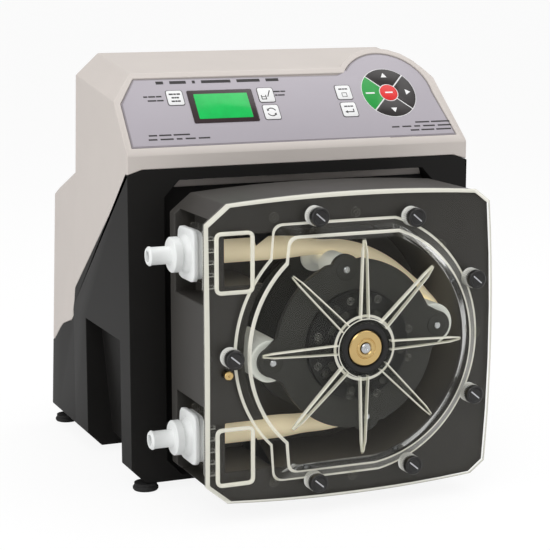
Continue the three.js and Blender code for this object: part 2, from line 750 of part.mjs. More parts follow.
// disc with a round lobe around each roller pin
function rotorPlate(y0, y1) {
  const lobes = [];
  const pins = [];
  for (const { pinR, lobeR, firstDeg } of [SQUEEZE, GUIDE]) {
    for (const deg of [firstDeg, firstDeg + 180]) {
      const [x, z] = polar(deg, pinR);
      const [rootX, rootZ] = polar(deg, pinR * 0.75);
      const web = new THREE.Matrix4().makeRotationY(-THREE.MathUtils.degToRad(deg));
      web.setPosition(rootX, (y0 + y1) / 2, rootZ);
      lobes.push(rodY(lobeR, y0, y1, 14, x, z));
      lobes.push(solid(new THREE.BoxGeometry(pinR / 2, y1 - y0, lobeR * 1.9).applyMatrix4(web)));
      pins.push(rodY(PIN_RADIUS + GAP, y0 - 1, y1 + 1, 8, x, z));
    }
  }
  return cut(join(rodY(ROTOR.disc, y0, y1, 32), ...lobes), ...pins, rodY(SHAFT_RADIUS + GAP, y0 - 1, y1 + 1, 16));
}

const frontPlateBack = ROTOR.frontY + ROTOR.plate;
const backPlateFront = ROTOR.backY - ROTOR.plate;
add('rotor_front_plate', rotorPlate(ROTOR.frontY, frontPlateBack), ROTOR_GREY);
add('rotor_back_plate', rotorPlate(backPlateFront, ROTOR.backY), ROTOR_GREY);
add('rotor_hub', ringY(SHAFT_RADIUS + GAP, ROTOR.hubR, frontPlateBack + GAP, backPlateFront - GAP, 32), ROTOR_GREY);
add('rotor_cap', ringY(SHAFT_RADIUS + GAP, ROTOR.capR, -4.4, ROTOR.frontY - GAP, 40), ROTOR_GREY);

const BUSH = { r: 14.5, bore: 4.4, y0: -14.6, y1: -6 };
const shaft = turnedY(
  [
    [0, -15],
    [BUSH.bore - GAP, -15],
    [BUSH.bore - GAP, -5],
    [SHAFT_RADIUS, -5],
    [SHAFT_RADIUS, GEARBOX.y0 + 24],
    [0, GEARBOX.y0 + 24],
  ],
  24,
);
add('drive_shaft', shaft, STEEL);

const rollerY = [frontPlateBack + GAP, backPlateFront - GAP];
const squeezeRoller = (x, z) => ringY(PIN_RADIUS + GAP, SQUEEZE.rollerR, rollerY[0], rollerY[1], 20, x, z);
function guideRoller(x, z) {
  const [bore, rim, core] = [PIN_RADIUS + GAP, GUIDE.flangeR, GUIDE.coreR];
  const [a, b] = [TUBE_Y - 13.5, TUBE_Y + 13.5];
  const profile = [
    [bore, rollerY[0]],
    [rim, rollerY[0]],
    [rim, a - 3],
    [core, a],
    [core, b],
    [rim, b + 3],
    [rim, rollerY[1]],
    [bore, rollerY[1]],
    [bore, rollerY[0]],
  ];
  return turnedY(profile, 16, x, z);
}
for (const [kind, make] of [['squeeze', squeezeRoller], ['guide', guideRoller]]) {
  const { pinR, firstDeg } = kind === 'squeeze' ? SQUEEZE : GUIDE;
  for (const [i, deg] of [firstDeg, firstDeg + 180].entries()) {
    const [x, z] = polar(deg, pinR);
    add(`${kind}_roller_${i + 1}`, make(x, z), ROLLER_WHITE);
    add(`${kind}_pin_${i + 1}`, rodY(PIN_RADIUS, ROTOR.frontY - 1, ROTOR.backY + 1, 8, x, z), STEEL);
  }
}

// ---------------------------------------------------------------- clear cover

// front view of the raised part: a circle with two square ears over the tube's ends
function domeShape(radius, earX, earZ, y0, y1) {
  const ears = box(earX, 0, y0, y1, 60, earZ).add(box(earX, 0, y0, y1, -earZ, -60));
  const outline = [
    [earX, -earZ + 4],
    [earX + 6, -earZ],
    [0, -earZ],
    [0, earZ],
    [earX + 6, earZ],
    [earX, earZ - 4],
  ];
  const trimmed = ears.intersect(slabY(outline, y0, y1));
  return join(rodY(radius, y0, y1, 24), trimmed);
}

function ribBlade(i) {
  const turn = new THREE.Matrix4().makeRotationY((i * Math.PI * 2) / RIBS.count);
  const blade = [
    [DOME.hubR - 3, DOME.browY + 1],
    [RIBS.end, DOME.browY + 1],
    [RIBS.end, -9],
    [RIBS.end - 4, RIBS.frontY + 1],
    [DOME.hubR - 3, RIBS.frontY],
  ];
  const centred = new THREE.Matrix4().makeTranslation(0, 0, -RIBS.half);
  return extrude(blade.reverse(), RIBS.half * 2, turn.multiply(centred));
}

const cone = turnedY(
  [[0, FLANGE - 1], [DOME.brow, FLANGE - 1], [DOME.brow, DOME.browY], [DOME.hubR, -11], [0, -11]],
  40,
);
const wallSlope = turnedY(
  [[0, FLANGE - 1], [DOME.foot, FLANGE - 1], [DOME.foot, 0], [DOME.brow, DOME.browY], [0, DOME.browY]],
  40,
);
const ears = domeShape(60, -75.5, 101, DOME.browY, FLANGE - 1);
const earHollow = domeShape(60, -71.5, 97, DOME.browY + DOME.wall, FLANGE + 1);
const hollowDome = join(
  turnedY(
    [
      [0, FLANGE + 1],
      [DOME.brow - 0.5, FLANGE + 1],
      [DOME.brow - 0.5, DOME.browY + DOME.wall],
      [ROTOR.capR + 4, -5.4],
      [0, -5.4],
    ],
    40,
  ),
  earHollow,
);
const windowBead = (grow) => slabY(roundedRect(35 + grow, 50 + grow, 5, -106.5, TUBE_Z), -2, 1, 4);
const windows = bothPorts(cut(windowBead(3), slabY(roundedRect(35, 50, 4, -106.5, TUBE_Z), -3, 0, 4)));
const cover = cut(
  join(
    slabY(headShape(0), 0, FLANGE),
    wallSlope,
    ears,
    cone,
    rodY(DOME.hubR, DOME.hubY, -5, 24),
    windows,
    ...Array.from({ length: RIBS.count }, (_, i) => ribBlade(i)),
  ),
  hollowDome,
  rodY(20.3, DOME.hubY - 1, -9.8, 24),
  rodY(BUSH.r + GAP, DOME.hubY - 1, 0, 24),
  bothPorts(box(-140, -128, -5, FLANGE + 5, 50, 99)),
  ...screwHoles(3.3, -5, FLANGE + 5),
  ...THUMB_SCREWS.map(([x, z]) => rodY(9, -20, 0, 14, x, z)),
  rodY(2.9, -5, FLANGE + 5, 12, -112.5, -14.7),
);
add('head_cover', cover, CLEAR);
add('cover_bush', ringY(BUSH.bore, BUSH.r, BUSH.y0, BUSH.y1, 24), BRASS);
add('cover_seal', ringY(BUSH.r + 0.6, 20, DOME.hubY, -10.1, 24), RUBBER);

for (const [i, [x, z]] of THUMB_SCREWS.entries()) {
  const screw = turnedY(
    [
      [0, -14],
      [6.9, -14],
      [7.6, -13.2],
      [7.6, -4.6],
      [6.4, -4],
      [6.4, -2.6],
      [8, -2.6],
      [8, -GAP],
      [3, -GAP],
      [3, 20],
      [0, 20],
    ],
    12,
    x,
    z,
  );
  add(`thumb_screw_${i + 1}`, screw, RUBBER);
}

// ---------------------------------------------------------------- stand on the table, centred

const extent = new THREE.Box3().setFromObject(pump);
const middle = extent.getCenter(new THREE.Vector3());
pump.position.set(-middle.x, -middle.y, -extent.min.z);
pump.updateMatrixWorld(true);

export default pump;
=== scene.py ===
"""Peristaltic metering pump: the pieces that show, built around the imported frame.

Lengths in the code are millimetres, in a frame of its own: the rotor axis is x = 0, z = 0, the
front of the clear cover's flange is y = 0, X is to the right, Y goes back and Z is up. seat()
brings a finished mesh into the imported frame, in metres.
"""

import math
import random

import bmesh
import bpy
from bpy.props import FloatProperty, FloatVectorProperty, IntProperty, PointerProperty
from mathutils import Matrix, Vector


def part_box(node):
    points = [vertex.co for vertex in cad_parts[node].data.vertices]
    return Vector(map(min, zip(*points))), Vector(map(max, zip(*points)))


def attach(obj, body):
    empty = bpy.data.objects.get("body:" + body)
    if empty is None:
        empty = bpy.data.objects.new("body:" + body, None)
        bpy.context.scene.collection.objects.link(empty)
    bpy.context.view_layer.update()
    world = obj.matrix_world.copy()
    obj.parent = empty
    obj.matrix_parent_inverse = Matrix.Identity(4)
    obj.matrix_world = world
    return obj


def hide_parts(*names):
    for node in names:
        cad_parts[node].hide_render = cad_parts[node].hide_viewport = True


bl_info = {
    "name": "Peristaltic pump",
    "version": (1, 0, 0),
    "blender": (4, 5, 0),
    "location": "View3D > Sidebar > Pump",
    "description": "Builds the casing, keypad, clear cover, rotor and tube of a metering pump",
    "category": "Add Mesh",
}

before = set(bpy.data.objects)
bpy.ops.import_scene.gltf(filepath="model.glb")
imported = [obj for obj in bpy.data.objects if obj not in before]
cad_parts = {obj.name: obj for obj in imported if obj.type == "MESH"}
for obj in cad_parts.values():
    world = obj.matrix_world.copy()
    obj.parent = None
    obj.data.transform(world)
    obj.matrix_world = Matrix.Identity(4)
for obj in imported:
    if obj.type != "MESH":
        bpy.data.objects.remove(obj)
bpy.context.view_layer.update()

MM = 0.001
SHAFT_LOW, SHAFT_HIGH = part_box("drive_shaft")
FLANGE_BACK_GAP = 5.3 * MM  # clear flange's front to the head casting's front
ORIGIN = Vector(
    (
        (SHAFT_LOW[0] + SHAFT_HIGH[0]) / 2,
        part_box("head_body")[0][1] - FLANGE_BACK_GAP,
        (SHAFT_LOW[2] + SHAFT_HIGH[2]) / 2,
    )
)

# ---------------------------------------------------------------- sizes that pieces share

FLANGE = 5.0
TUBE_Y, TUBE_Z, TUBE_RADIUS = 50.0, 75.0, 9.5
THUMB_SCREWS = [(-39.7, 107.7), (45, 102.5), (100.8, 48.4), (100.8, -48.4)]
THUMB_SCREWS += [(45, -102.5), (-39.7, -107.7), (-111.4, 0)]
SQUEEZE_PIN, SQUEEZE_DEG = 73.6, 7.3
GUIDE_PIN, GUIDE_DEG = 62.0, 98.7
ROTOR_FRONT, PLATE_THICK, ROTOR_BACK = 4.0, 5.5, 75.5
HUB_RADIUS, HUB_FRONT = 24.5, -14.2

PANEL_LEAN = math.radians(40)
PANEL_FOOT = (111.0, 149.0)
PANEL_LENGTH = 81.0
PAD = (97.0, 52.8)
PAD_RADIUS = 26.0
BUMP_RADIUS = 49.0
SCREEN = (-61.5, 44.7)
SQUARE_KEYS = {
    "key_mode": (-102.3, 54.6),
    "key_calibrate": (-19.8, 54.6),
    "key_direction": (-19.2, 36.6),
    "key_menu": (53.6, 54.6),
    "key_enter": (53.9, 36.4),
}


def tone(red, green, blue):
    """Linear colour from the 0 to 255 values that a colour picker shows."""

    def linear(value):
        value /= 255
        return value / 12.92 if value <= 0.04045 else ((value + 0.055) / 1.055) ** 2.4

    return tuple(linear(v) for v in (red, green, blue))


# ---------------------------------------------------------------- settings


def colour(label, words, red, green, blue):
    return FloatVectorProperty(
        name=label, description=words, default=tone(red, green, blue), subtype="COLOR", min=0, max=1,
            size=3
    )


class PumpFinishes(bpy.types.PropertyGroup):
    """Colours of the pump's castings, plastics and keys."""

    light_paint: colour("Light paint", "Upper casting", 212, 204, 198)
    black_paint: colour("Black paint", "Lower casting", 29, 28, 27)
    head_paint: colour("Head", "Pump head casting", 62, 60, 57)
    membrane: colour("Membrane", "Keypad overlay", 178, 172, 180)
    screen: colour("Screen", "Lit display", 0, 176, 78)
    # painted light: the tube colour is set paler than the tube's own tan to brighten it deep inside the
    # head; the tube's glow uses it too
    tube: colour("Tube", "Pump tube", 250, 234, 198)
    brass: colour("Brass", "Shaft bush", 214, 184, 126)
    fitting: colour("Fittings", "Hose fittings", 244, 246, 245)


class PumpSizes(bpy.types.PropertyGroup):
    """Sizes that change the look without moving any part."""

    casting_edge: FloatProperty(
        name="Casting edge", description="Rounding of the painted castings", default=1.6 * MM,
            unit="LENGTH"
    )
    rib_count: IntProperty(name="Cover ribs", description="Ribs from hub to rim", default=8, min=3,
        max=24)
    knurl_count: IntProperty(name="Knurls", description="Ridges round each knob", default=30, min=8,
        max=60)


# ---------------------------------------------------------------- meshes


def seat(obj):
    """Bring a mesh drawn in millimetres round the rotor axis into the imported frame."""
    obj.data.transform(Matrix.Translation(ORIGIN) @ Matrix.Scale(MM, 4))
    obj.data.update()
    return obj


def new_object(name, mesh):
    obj = bpy.data.objects.new(name, mesh)
    bpy.context.scene.collection.objects.link(obj)
    return obj


def object_from(name, work, smooth=35, merge=1e-3):
    """Object from a bmesh, merged, with its faces turned outwards."""
    bmesh.ops.remove_doubles(work, verts=work.verts, dist=merge)
    bmesh.ops.recalc_face_normals(work, faces=work.faces)
    mesh = bpy.data.meshes.new(name)
    work.to_mesh(mesh)
    work.free()
    obj = new_object(name, mesh)
    shade(obj, smooth)
    return obj


def shade(obj, degrees):
    mesh = obj.data
    mesh.shade_smooth()
    mesh.set_sharp_from_angle(angle=math.radians(degrees))


def grid_faces(work, rows, around=True, cap=False):
    """Skin rows of points; each row is a list of vertices of one length."""
    made = [[work.verts.new(p) for p in row] for row in rows]
    count = len(made[0])
    for a, b in zip(made, made[1:]):
        for k in range(count if around else count - 1):
            m = (k + 1) % count
            work.faces.new((a[k], a[m], b[m], b[k]))
    if cap:
        work.faces.new(made[0])
        work.faces.new(list(reversed(made[-1])))
    return made


def turned(name, profile, centre=(0, 0), segments=64, axis="Y"):
    """Closed (radius, along) profile turned about an axis through centre."""
    work = bmesh.new()
    rows = []
    for r, along in list(profile) + [profile[0]]:
        row = []
        for k in range(segments):
            a = 2 * math.pi * k / segments
            u, v = r * math.cos(a), r * math.sin(a)
            if axis == "Y":
                row.append((centre[0] + u, along, centre[1] + v))
            elif axis == "X":
                row.append((along, centre[0] + u, centre[1] + v))
            else:
                row.append((centre[0] + u, centre[1] + v, along))
        rows.append(row)
    grid_faces(work, rows)
    bmesh.ops.remove_doubles(work, verts=work.verts, dist=1e-4)
    bmesh.ops.dissolve_degenerate(work, edges=work.edges, dist=1e-5)
    return object_from(name, work)


def prism(name, outline, low, high, direction="Y", edge=0.0, steps=3, smooth=35):
    """Outline of (u, v) points given depth; its rims are rounded by edge."""

    def lift(u, v, w):
        if direction == "Y":
            return (u, w, v)
        if direction == "X":
            return (w, u, v)
        if direction == "Z":
            return (u, v, w)
        return tuple(panel_point(u, v, w))

    rows = []
    if edge:
        for k in range(steps + 1):
            a = math.pi / 2 * k / steps
            rows.append((edge * (1 - math.sin(a)), low + edge * (1 - math.cos(a))))
        for k in range(steps + 1):
            a = math.pi / 2 * k / steps
            rows.append((edge * (1 - math.cos(a)), high - edge * (1 - math.sin(a))))
    else:
        rows = [(0, low), (0, high)]
    work = bmesh.new()
    skin = [[lift(u, v, w) for u, v in shrink(outline, d)] for d, w in rows]
    grid_faces(work, skin, cap=True)
    return object_from(name, work, smooth, merge=1e-4)


def shrink(outline, distance):
    """Closed outline, anticlockwise, with its edges moved inwards."""
    if not distance:
        return list(outline)
    count = len(outline)
    result = []
    for i, (x, y) in enumerate(outline):
        before, after = Vector(outline[i - 1]), Vector(outline[(i + 1) % count])
        here = Vector((x, y))
        a, b = (here - before).normalized(), (after - here).normalized()
        na, nb = Vector((-a.y, a.x)), Vector((-b.y, b.x))
        mid = na + nb
        reach = distance / max(0.35, mid.length_squared / 2)
        result.append(tuple(here + mid * reach))
    return result


def arc(cx, cy, r, start, end, steps):
    """Points on an arc, angles in degrees."""
    return [
        (
            cx + r * math.cos(math.radians(start + (end - start) * k / steps)),
            cy + r * math.sin(math.radians(start + (end - start) * k / steps)),
        )
        for k in range(steps + 1)
    ]


def rounded(corners, radius, steps=5):
    """Anticlockwise corners, each replaced by an arc-like curve."""
    result = []
    count = len(corners)
    for i, corner in enumerate(corners):
        here = Vector(corner)
        before, after = Vector(corners[i - 1]), Vector(corners[(i + 1) % count])
        a, b = before - here, after - here
        cut = min(radius, a.length * 0.48, b.length * 0.48)
        start, end = here + a.normalized() * cut, here + b.normalized() * cut
        for k in range(steps + 1):
            t = k / steps
            result.append(tuple(start * (1 - t) ** 2 + here * (2 * t * (1 - t)) + end * t**2))
    return result


def rectangle(width, height, u=0, v=0):
    w, h = width / 2, height / 2
    return [(u - w, v - h), (u + w, v - h), (u + w, v + h), (u - w, v + h)]


def join(name, pieces):
    """One object from several that have the same material layout."""
    work = bmesh.new()
    slots = []
    for piece in pieces:
        start = len(work.faces)
        work.from_mesh(piece.data)
        work.faces.ensure_lookup_table()
        names = [m for m in piece.data.materials]
        for m in names:
            if m not in slots:
                slots.append(m)
        for face in work.faces[start:]:
            if names:
                face.material_index = slots.index(names[face.material_index])
    mesh = bpy.data.meshes.new(name)
    work.to_mesh(mesh)
    work.free()
    for m in slots:
        mesh.materials.append(m)
    for piece in pieces:
        data = piece.data
        bpy.data.objects.remove(piece)
        bpy.data.meshes.remove(data)
    return new_object(name, mesh)


def copy_of(name, node, edge=0.0, steps=2, angle=30, merge=0.002 * MM):
    """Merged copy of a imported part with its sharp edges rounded."""
    work = bmesh.new()
    work.from_mesh(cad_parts[node].data)
    bmesh.ops.remove_doubles(work, verts=work.verts, dist=merge)
    bmesh.ops.dissolve_limit(
        work, angle_limit=math.radians(1), verts=work.verts, edges=work.edges, delimit={"NORMAL"}
    )
    mesh = bpy.data.meshes.new(name)
    work.to_mesh(mesh)
    work.free()
    obj = new_object(name, mesh)
    shade(obj, angle)
    if edge:
        bevel = obj.modifiers.new("edges", "BEVEL")
        bevel.width = edge
        bevel.segments = steps
        bevel.limit_method = "ANGLE"
        bevel.angle_limit = math.radians(angle)
        bevel.use_clamp_overlap = False
        bevel.harden_normals = True
    return obj


def finish_piece(obj, paint, body, slot, *nodes):
    """Give a piece its material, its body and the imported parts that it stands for."""
    if paint is not None:
        obj.data.materials.clear()
        obj.data.materials.append(paint)
    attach(obj, body)
    if nodes:
        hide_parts(*nodes)
    return obj


def ring_tree():
    """Node tree that copies its mesh round the Y axis."""
    tree = bpy.data.node_groups.new("copies_round_axis", "GeometryNodeTree")
    face = tree.interface
    face.new_socket(name="Geometry", in_out="INPUT", socket_type="NodeSocketGeometry")
    face.new_socket(name="Count", in_out="INPUT", socket_type="NodeSocketInt")
    face.new_socket(name="Start", in_out="INPUT", socket_type="NodeSocketFloat")
    face.new_socket(name="Material", in_out="INPUT", socket_type="NodeSocketMaterial")
    face.new_socket(name="Geometry", in_out="OUTPUT", socket_type="NodeSocketGeometry")
    put, link = tree.nodes.new, tree.links.new
    given, out = put("NodeGroupInput"), put("NodeGroupOutput")
    points, index = put("GeometryNodePoints"), put("GeometryNodeInputIndex")
    step, turn, shift = put("ShaderNodeMath"), put("ShaderNodeMath"), put("ShaderNodeMath")
    spin, copies = put("ShaderNodeCombineXYZ"), put("GeometryNodeInstanceOnPoints")
    real, paint = put("GeometryNodeRealizeInstances"), put("GeometryNodeSetMaterial")
    step.operation, turn.operation = "DIVIDE", "MULTIPLY"
    step.inputs[0].default_value = 2 * math.pi
    link(given.outputs["Count"], points.inputs["Count"])
    link(given.outputs["Count"], step.inputs[1])
    link(index.outputs[0], turn.inputs[0])
    link(step.outputs[0], turn.inputs[1])
    link(turn.outputs[0], shift.inputs[0])
    link(given.outputs["Start"], shift.inputs[1])
    link(shift.outputs[0], spin.inputs["Y"])
    link(points.outputs[0], copies.inputs["Points"])
    link(given.outputs["Geometry"], copies.inputs["Instance"])
    link(spin.outputs[0], copies.inputs["Rotation"])
    link(copies.outputs[0], real.inputs[0])
    link(real.outputs[0], paint.inputs["Geometry"])
    link(given.outputs["Material"], paint.inputs["Material"])
    link(paint.outputs[0], out.inputs[0])
    return tree


def round_the_axis(obj, count, paint, start=0.0):
    """Replace a mesh drawn beside the Y axis with copies of it all round the axis."""
    tree = bpy.data.node_groups.get("copies_round_axis") or ring_tree()
    ids = {item.name: item.identifier for item in tree.interface.items_tree if item.in_out == "INPUT"}
    modifier = obj.modifiers.new("copies", "NODES")
    modifier.node_group = tree
    modifier[ids["Count"]] = count
    modifier[ids["Start"]] = start
    modifier[ids["Material"]] = paint
    seen = obj.evaluated_get(bpy.context.evaluated_depsgraph_get())
    mesh = bpy.data.meshes.new_from_object(seen)
    obj.modifiers.remove(modifier)
    old = obj.data
    obj.data = mesh
    bpy.data.meshes.remove(old)
    return obj


# ---------------------------------------------------------------- the panel's own frame

SLOPE = Vector((0, math.sin(PANEL_LEAN), math.cos(PANEL_LEAN)))
OUTWARD = Vector((0, -math.cos(PANEL_LEAN), math.sin(PANEL_LEAN)))


def panel_point(u, v, n=0.0):
    return Vector((u, *PANEL_FOOT)) + SLOPE * v + OUTWARD * n


# ---------------------------------------------------------------- materials


def material(name, base, rough, metal=0.0, grain=0.0, grain_size=0.0012, vary=0.0, vary_size=0.04,
    **extra):
    """Principled material whose colour drifts a little and whose surface has a fine grain."""
    made = bpy.data.materials.new(name)
    made.use_nodes = True
    nodes, link = made.node_tree.nodes, made.node_tree.links.new
    shader = nodes["Principled BSDF"]
    shader.inputs["Base Color"].default_value = (*base, 1)
    shader.inputs["Roughness"].default_value = rough
    shader.inputs["Metallic"].default_value = metal
    for key, value in extra.items():
        shader.inputs[key.replace("_", " ")].default_value = value
    place = nodes.new("ShaderNodeTexCoord")
    if vary:
        drift = nodes.new("ShaderNodeTexNoise")
        drift.inputs["Scale"].default_value = 1 / vary_size
        drift.inputs["Detail"].default_value = 5
        ramp = nodes.new("ShaderNodeValToRGB")
        ramp.color_ramp.elements[0].position = 0.3
        ramp.color_ramp.elements[1].position = 0.72
        ramp.color_ramp.elements[0].color = (*[c * (1 - vary) for c in base], 1)
        ramp.color_ramp.elements[1].color = (*[min(1, c * (1 + vary)) for c in base], 1)
        link(place.outputs["Object"], drift.inputs["Vector"])
        link(drift.outputs["Fac"], ramp.inputs["Fac"])
        link(ramp.outputs["Color"], shader.inputs["Base Color"])
    if grain:
        noise = nodes.new("ShaderNodeTexNoise")
        noise.inputs["Scale"].default_value = 1 / grain_size
        noise.inputs["Detail"].default_value = 3
        bump = nodes.new("ShaderNodeBump")
        bump.inputs["Strength"].default_value = grain
        bump.inputs["Distance"].default_value = grain_size * 0.25
        link(place.outputs["Object"], noise.inputs["Vector"])
        link(noise.outputs["Fac"], bump.inputs["Height"])
        link(bump.outputs["Normal"], shader.inputs["Normal"])
    return made


def clear_material(name, tint, gloss, edge):
    """See-through plastic: clear when looked through squarely; where it turns away a pale diffuse white
    is mixed in, a painted highlight standing for the shine on clear edges.
    """
    made = bpy.data.materials.new(name)
    made.use_nodes = True
    nodes, link = made.node_tree.nodes, made.node_tree.links.new
    nodes.remove(nodes["Principled BSDF"])
    through, shine, grazing_highlight = (
        nodes.new("ShaderNodeBsdfTransparent"),
        nodes.new("ShaderNodeBsdfGlossy"),
        nodes.new("ShaderNodeBsdfDiffuse"),
    )
    through.inputs["Color"].default_value = (*tint, 1)
    shine.inputs["Roughness"].default_value = gloss
    grazing_highlight.inputs["Color"].default_value = (0.93, 0.93, 0.88, 1)
    fresnel, facing = nodes.new("ShaderNodeFresnel"), nodes.new("ShaderNodeLayerWeight")
    fresnel.inputs["IOR"].default_value = 1.22
    facing.inputs["Blend"].default_value = 0.35
    power, scale = nodes.new("ShaderNodeMath"), nodes.new("ShaderNodeMath")
    power.operation, scale.operation = "POWER", "MULTIPLY"
    power.inputs[1].default_value = 3.0
    scale.inputs[1].default_value = edge
    glass, rim = nodes.new("ShaderNodeMixShader"), nodes.new("ShaderNodeMixShader")
    link(fresnel.outputs[0], glass.inputs[0])
    link(through.outputs[0], glass.inputs[1])
    link(shine.outputs[0], glass.inputs[2])
    # painted highlight: the facing term mixes in pale white as the surface turns away from view
    link(facing.outputs["Facing"], power.inputs[0])
    link(power.outputs[0], scale.inputs[0])
    link(scale.outputs[0], rim.inputs[0])
    link(glass.outputs[0], rim.inputs[1])
    link(grazing_highlight.outputs[0], rim.inputs[2])
    pass_light(made, rim.outputs[0])
    return made


def pass_light(made, surface):
    """Send a surface to the output, but let light through it to what lies behind."""
    nodes, link = made.node_tree.nodes, made.node_tree.links.new
    seen, blend = nodes.new("ShaderNodeLightPath"), nodes.new("ShaderNodeMixShader")
    link(seen.outputs["Is Shadow Ray"], blend.inputs[0])
    link(surface, blend.inputs[1])
    link(nodes.new("ShaderNodeBsdfTransparent").outputs[0], blend.inputs[2])
    link(blend.outputs[0], nodes["Material Output"].inputs["Surface"])


def highlight_line_material(name):
    """Painted highlight for the edges of the clear plastic that catch the light: mostly pale, a little
    see-through.
    """
    made = material(name, tone(250, 248, 234), 0.2, grain=0.03, vary=0.01)
    nodes, link = made.node_tree.nodes, made.node_tree.links.new
    through, blend = nodes.new("ShaderNodeBsdfTransparent"), nodes.new("ShaderNodeMixShader")
    blend.inputs[0].default_value = 0.25
    link(nodes["Principled BSDF"].outputs[0], blend.inputs[1])
    link(through.outputs[0], blend.inputs[2])
    pass_light(made, blend.outputs[0])
    return made


PAINTS = {}


def paint(name):
    """Material by name; each is made once, when it is first asked for."""
    if name in PAINTS:
        return PAINTS[name]
    finish = bpy.context.scene.pump_finishes
    steel = tone(200, 202, 205)
    recipes = {
        "light_paint": lambda: material(name, finish.light_paint, 0.5, grain=0.05, grain_size=0.0005,
            vary=0.015),
        "black_paint": lambda: material(name, finish.black_paint, 0.5, grain=0.06, grain_size=0.0005,
            vary=0.05, Specular_IOR_Level=0.15),
        "head_paint": lambda: material(name, finish.head_paint, 0.42, grain=0.04, grain_size=0.0005,
            vary=0.05, Specular_IOR_Level=0.25),
        "track_paint": lambda: material(name, tone(58, 55, 52), 0.35, grain=0.05, vary=0.1),
        "membrane": lambda: material(name, finish.membrane, 0.42, grain=0.06, grain_size=0.0006,
            vary=0.01),
        "membrane_edge": lambda: material(name, tone(150, 144, 150), 0.5, grain=0.05, vary=0.01),
        "key_white": lambda: material(name, tone(240, 240, 240), 0.35, grain=0.04, vary=0.01),
        "key_black": lambda: material(name, tone(34, 28, 27), 0.35, grain=0.05, vary=0.03),
        "key_green": lambda: material(name, tone(20, 158, 62), 0.35, grain=0.04, vary=0.02),
        "key_red": lambda: material(name, tone(228, 34, 34), 0.35, grain=0.04, vary=0.02),
        "print_black": lambda: material(name, tone(38, 34, 36), 0.5, grain=0.03),
        "print_white": lambda: material(name, tone(245, 245, 245), 0.5, grain=0.03),
        "slot_shade_black": lambda: material(name, tone(9, 9, 9), 0.8, grain=0.02),
        "bezel": lambda: material(name, tone(44, 26, 30), 0.25, grain=0.02, vary=0.02),
        "rubber": lambda: material(name, tone(30, 29, 29), 0.75, grain=0.3, vary=0.08),
        "knob": lambda: material(name, tone(28, 27, 27), 0.28, grain=0.05, vary=0.05),
        "knurl": lambda: material(name, tone(238, 238, 234), 0.25, metal=0.3, grain=0.05, vary=0.03),
        "steel": lambda: material(name, steel, 0.25, metal=1.0, grain=0.06, vary=0.04),
        "brass": lambda: material(name, finish.brass, 0.24, metal=1.0, grain=0.06, vary=0.06),
        # painted light: the tube glows (emission) to brighten it deep inside the head, where the lamps
        # reach it dimly
        "tube": lambda: material(
            name, finish.tube, 0.42, grain=0.04, vary=0.03, Emission_Color=(*finish.tube, 1),
                Emission_Strength=0.28
        ),
        "fitting": lambda: material(name, finish.fitting, 0.35, grain=0.04, vary=0.01),
        # painted light: the rollers glow a little (emission) to brighten them deep inside the head
        "roller": lambda: material(
            name, tone(240, 244, 236), 0.35, grain=0.04, vary=0.01, Emission_Color=(0.8, 0.8, 0.75, 1),
                Emission_Strength=0.15
        ),
        "rotor": lambda: material(name, tone(56, 56, 52), 0.4, grain=0.04, vary=0.05,
            Specular_IOR_Level=0.25),
        "rotor_dark": lambda: material(name, tone(28, 28, 26), 0.4, grain=0.04, vary=0.05,
            Specular_IOR_Level=0.25),
        "board": lambda: material(name, tone(24, 84, 48), 0.5, grain=0.1, vary=0.05),
        "motor": lambda: material(name, tone(96, 99, 102), 0.4, metal=0.7, grain=0.1, vary=0.05),
        # both clear finishes carry the painted edge highlight; clear_edge mixes in far more of it
        "clear": lambda: clear_material(name, (0.985, 0.985, 0.975), 0.05, 0.16),
        "clear_edge": lambda: clear_material(name, (0.94, 0.94, 0.91), 0.08, 0.9),
        "clear_highlight_line": lambda: highlight_line_material(name),
    }
    PAINTS[name] = recipes[name]()
    return PAINTS[name]


# ---------------------------------------------------------------- casing


def build_casing(sizes):
    edge = sizes.casting_edge
    upper = copy_of("upper_casting", "upper_housing", edge * 0.6, merge=0.25 * MM)
    finish_piece(upper, paint("light_paint"), "body", "light_casting", "upper_housing")
    # painted shade: the recess behind the head is painted black
    paint_recess_shade(upper)
    lower = copy_of("lower_casting", "lower_housing", edge * 0.4, merge=0.25 * MM)
    finish_piece(lower, paint("black_paint"), "body", "black_casting", "lower_housing")
    adapter = copy_of("head_neck", "head_adapter", 1.2 * MM)
    finish_piece(adapter, paint("black_paint"), "body", "black_casting", "head_adapter")


def paint_recess_shade(obj):
    """Paint the light casting black where it forms the top of the recess behind the pump head: painted
    shade, standing for the shade that fills the recess.
    """
    obj.data.materials.append(paint("black_paint"))
    for face in obj.data.polygons:
        middle = (face.center - ORIGIN) / MM
        # painted shade: faces of the light casting inside the recess are given the black paint
        if abs(middle.x) < 127 and 112 < middle.y < 129 and middle.z < 127.5:
            face.material_index = 1


def build_head():
    body = copy_of("head_casting", "head_body", 1.0 * MM)
    finish_piece(body, paint("head_paint"), "body", "head_casting", "head_body")


# ---------------------------------------------------------------- panel


def membrane_outline(margin):
    """Overlay's outline in (u, v): a sloping strip that swells round the key pad."""
    radius = BUMP_RADIUS - margin
    top = PANEL_LENGTH - margin
    meet = 180 - math.degrees(math.asin((top - PAD[1]) / radius))
    start = (155 - margin, margin)
    points = [(-156.8 + margin, margin), start]
    points += arc(PAD[0], PAD[1], radius, 0, meet - 6, 28)
    end = points[-1]
    points += arc(end[0] - 12, top + 8.4, 9.5, -20, -84, 6)
    points += [(-137.6 + margin * 0.45, top), (-156.8 + margin, 53 - margin * 0.45)]
    return points


def panel_plate(name, outline, low, high, edge=0.0, finish="membrane"):
    obj = prism(name, outline, low, high, "PANEL", edge, steps=2)
    obj.data.materials.append(paint(finish))
    return obj


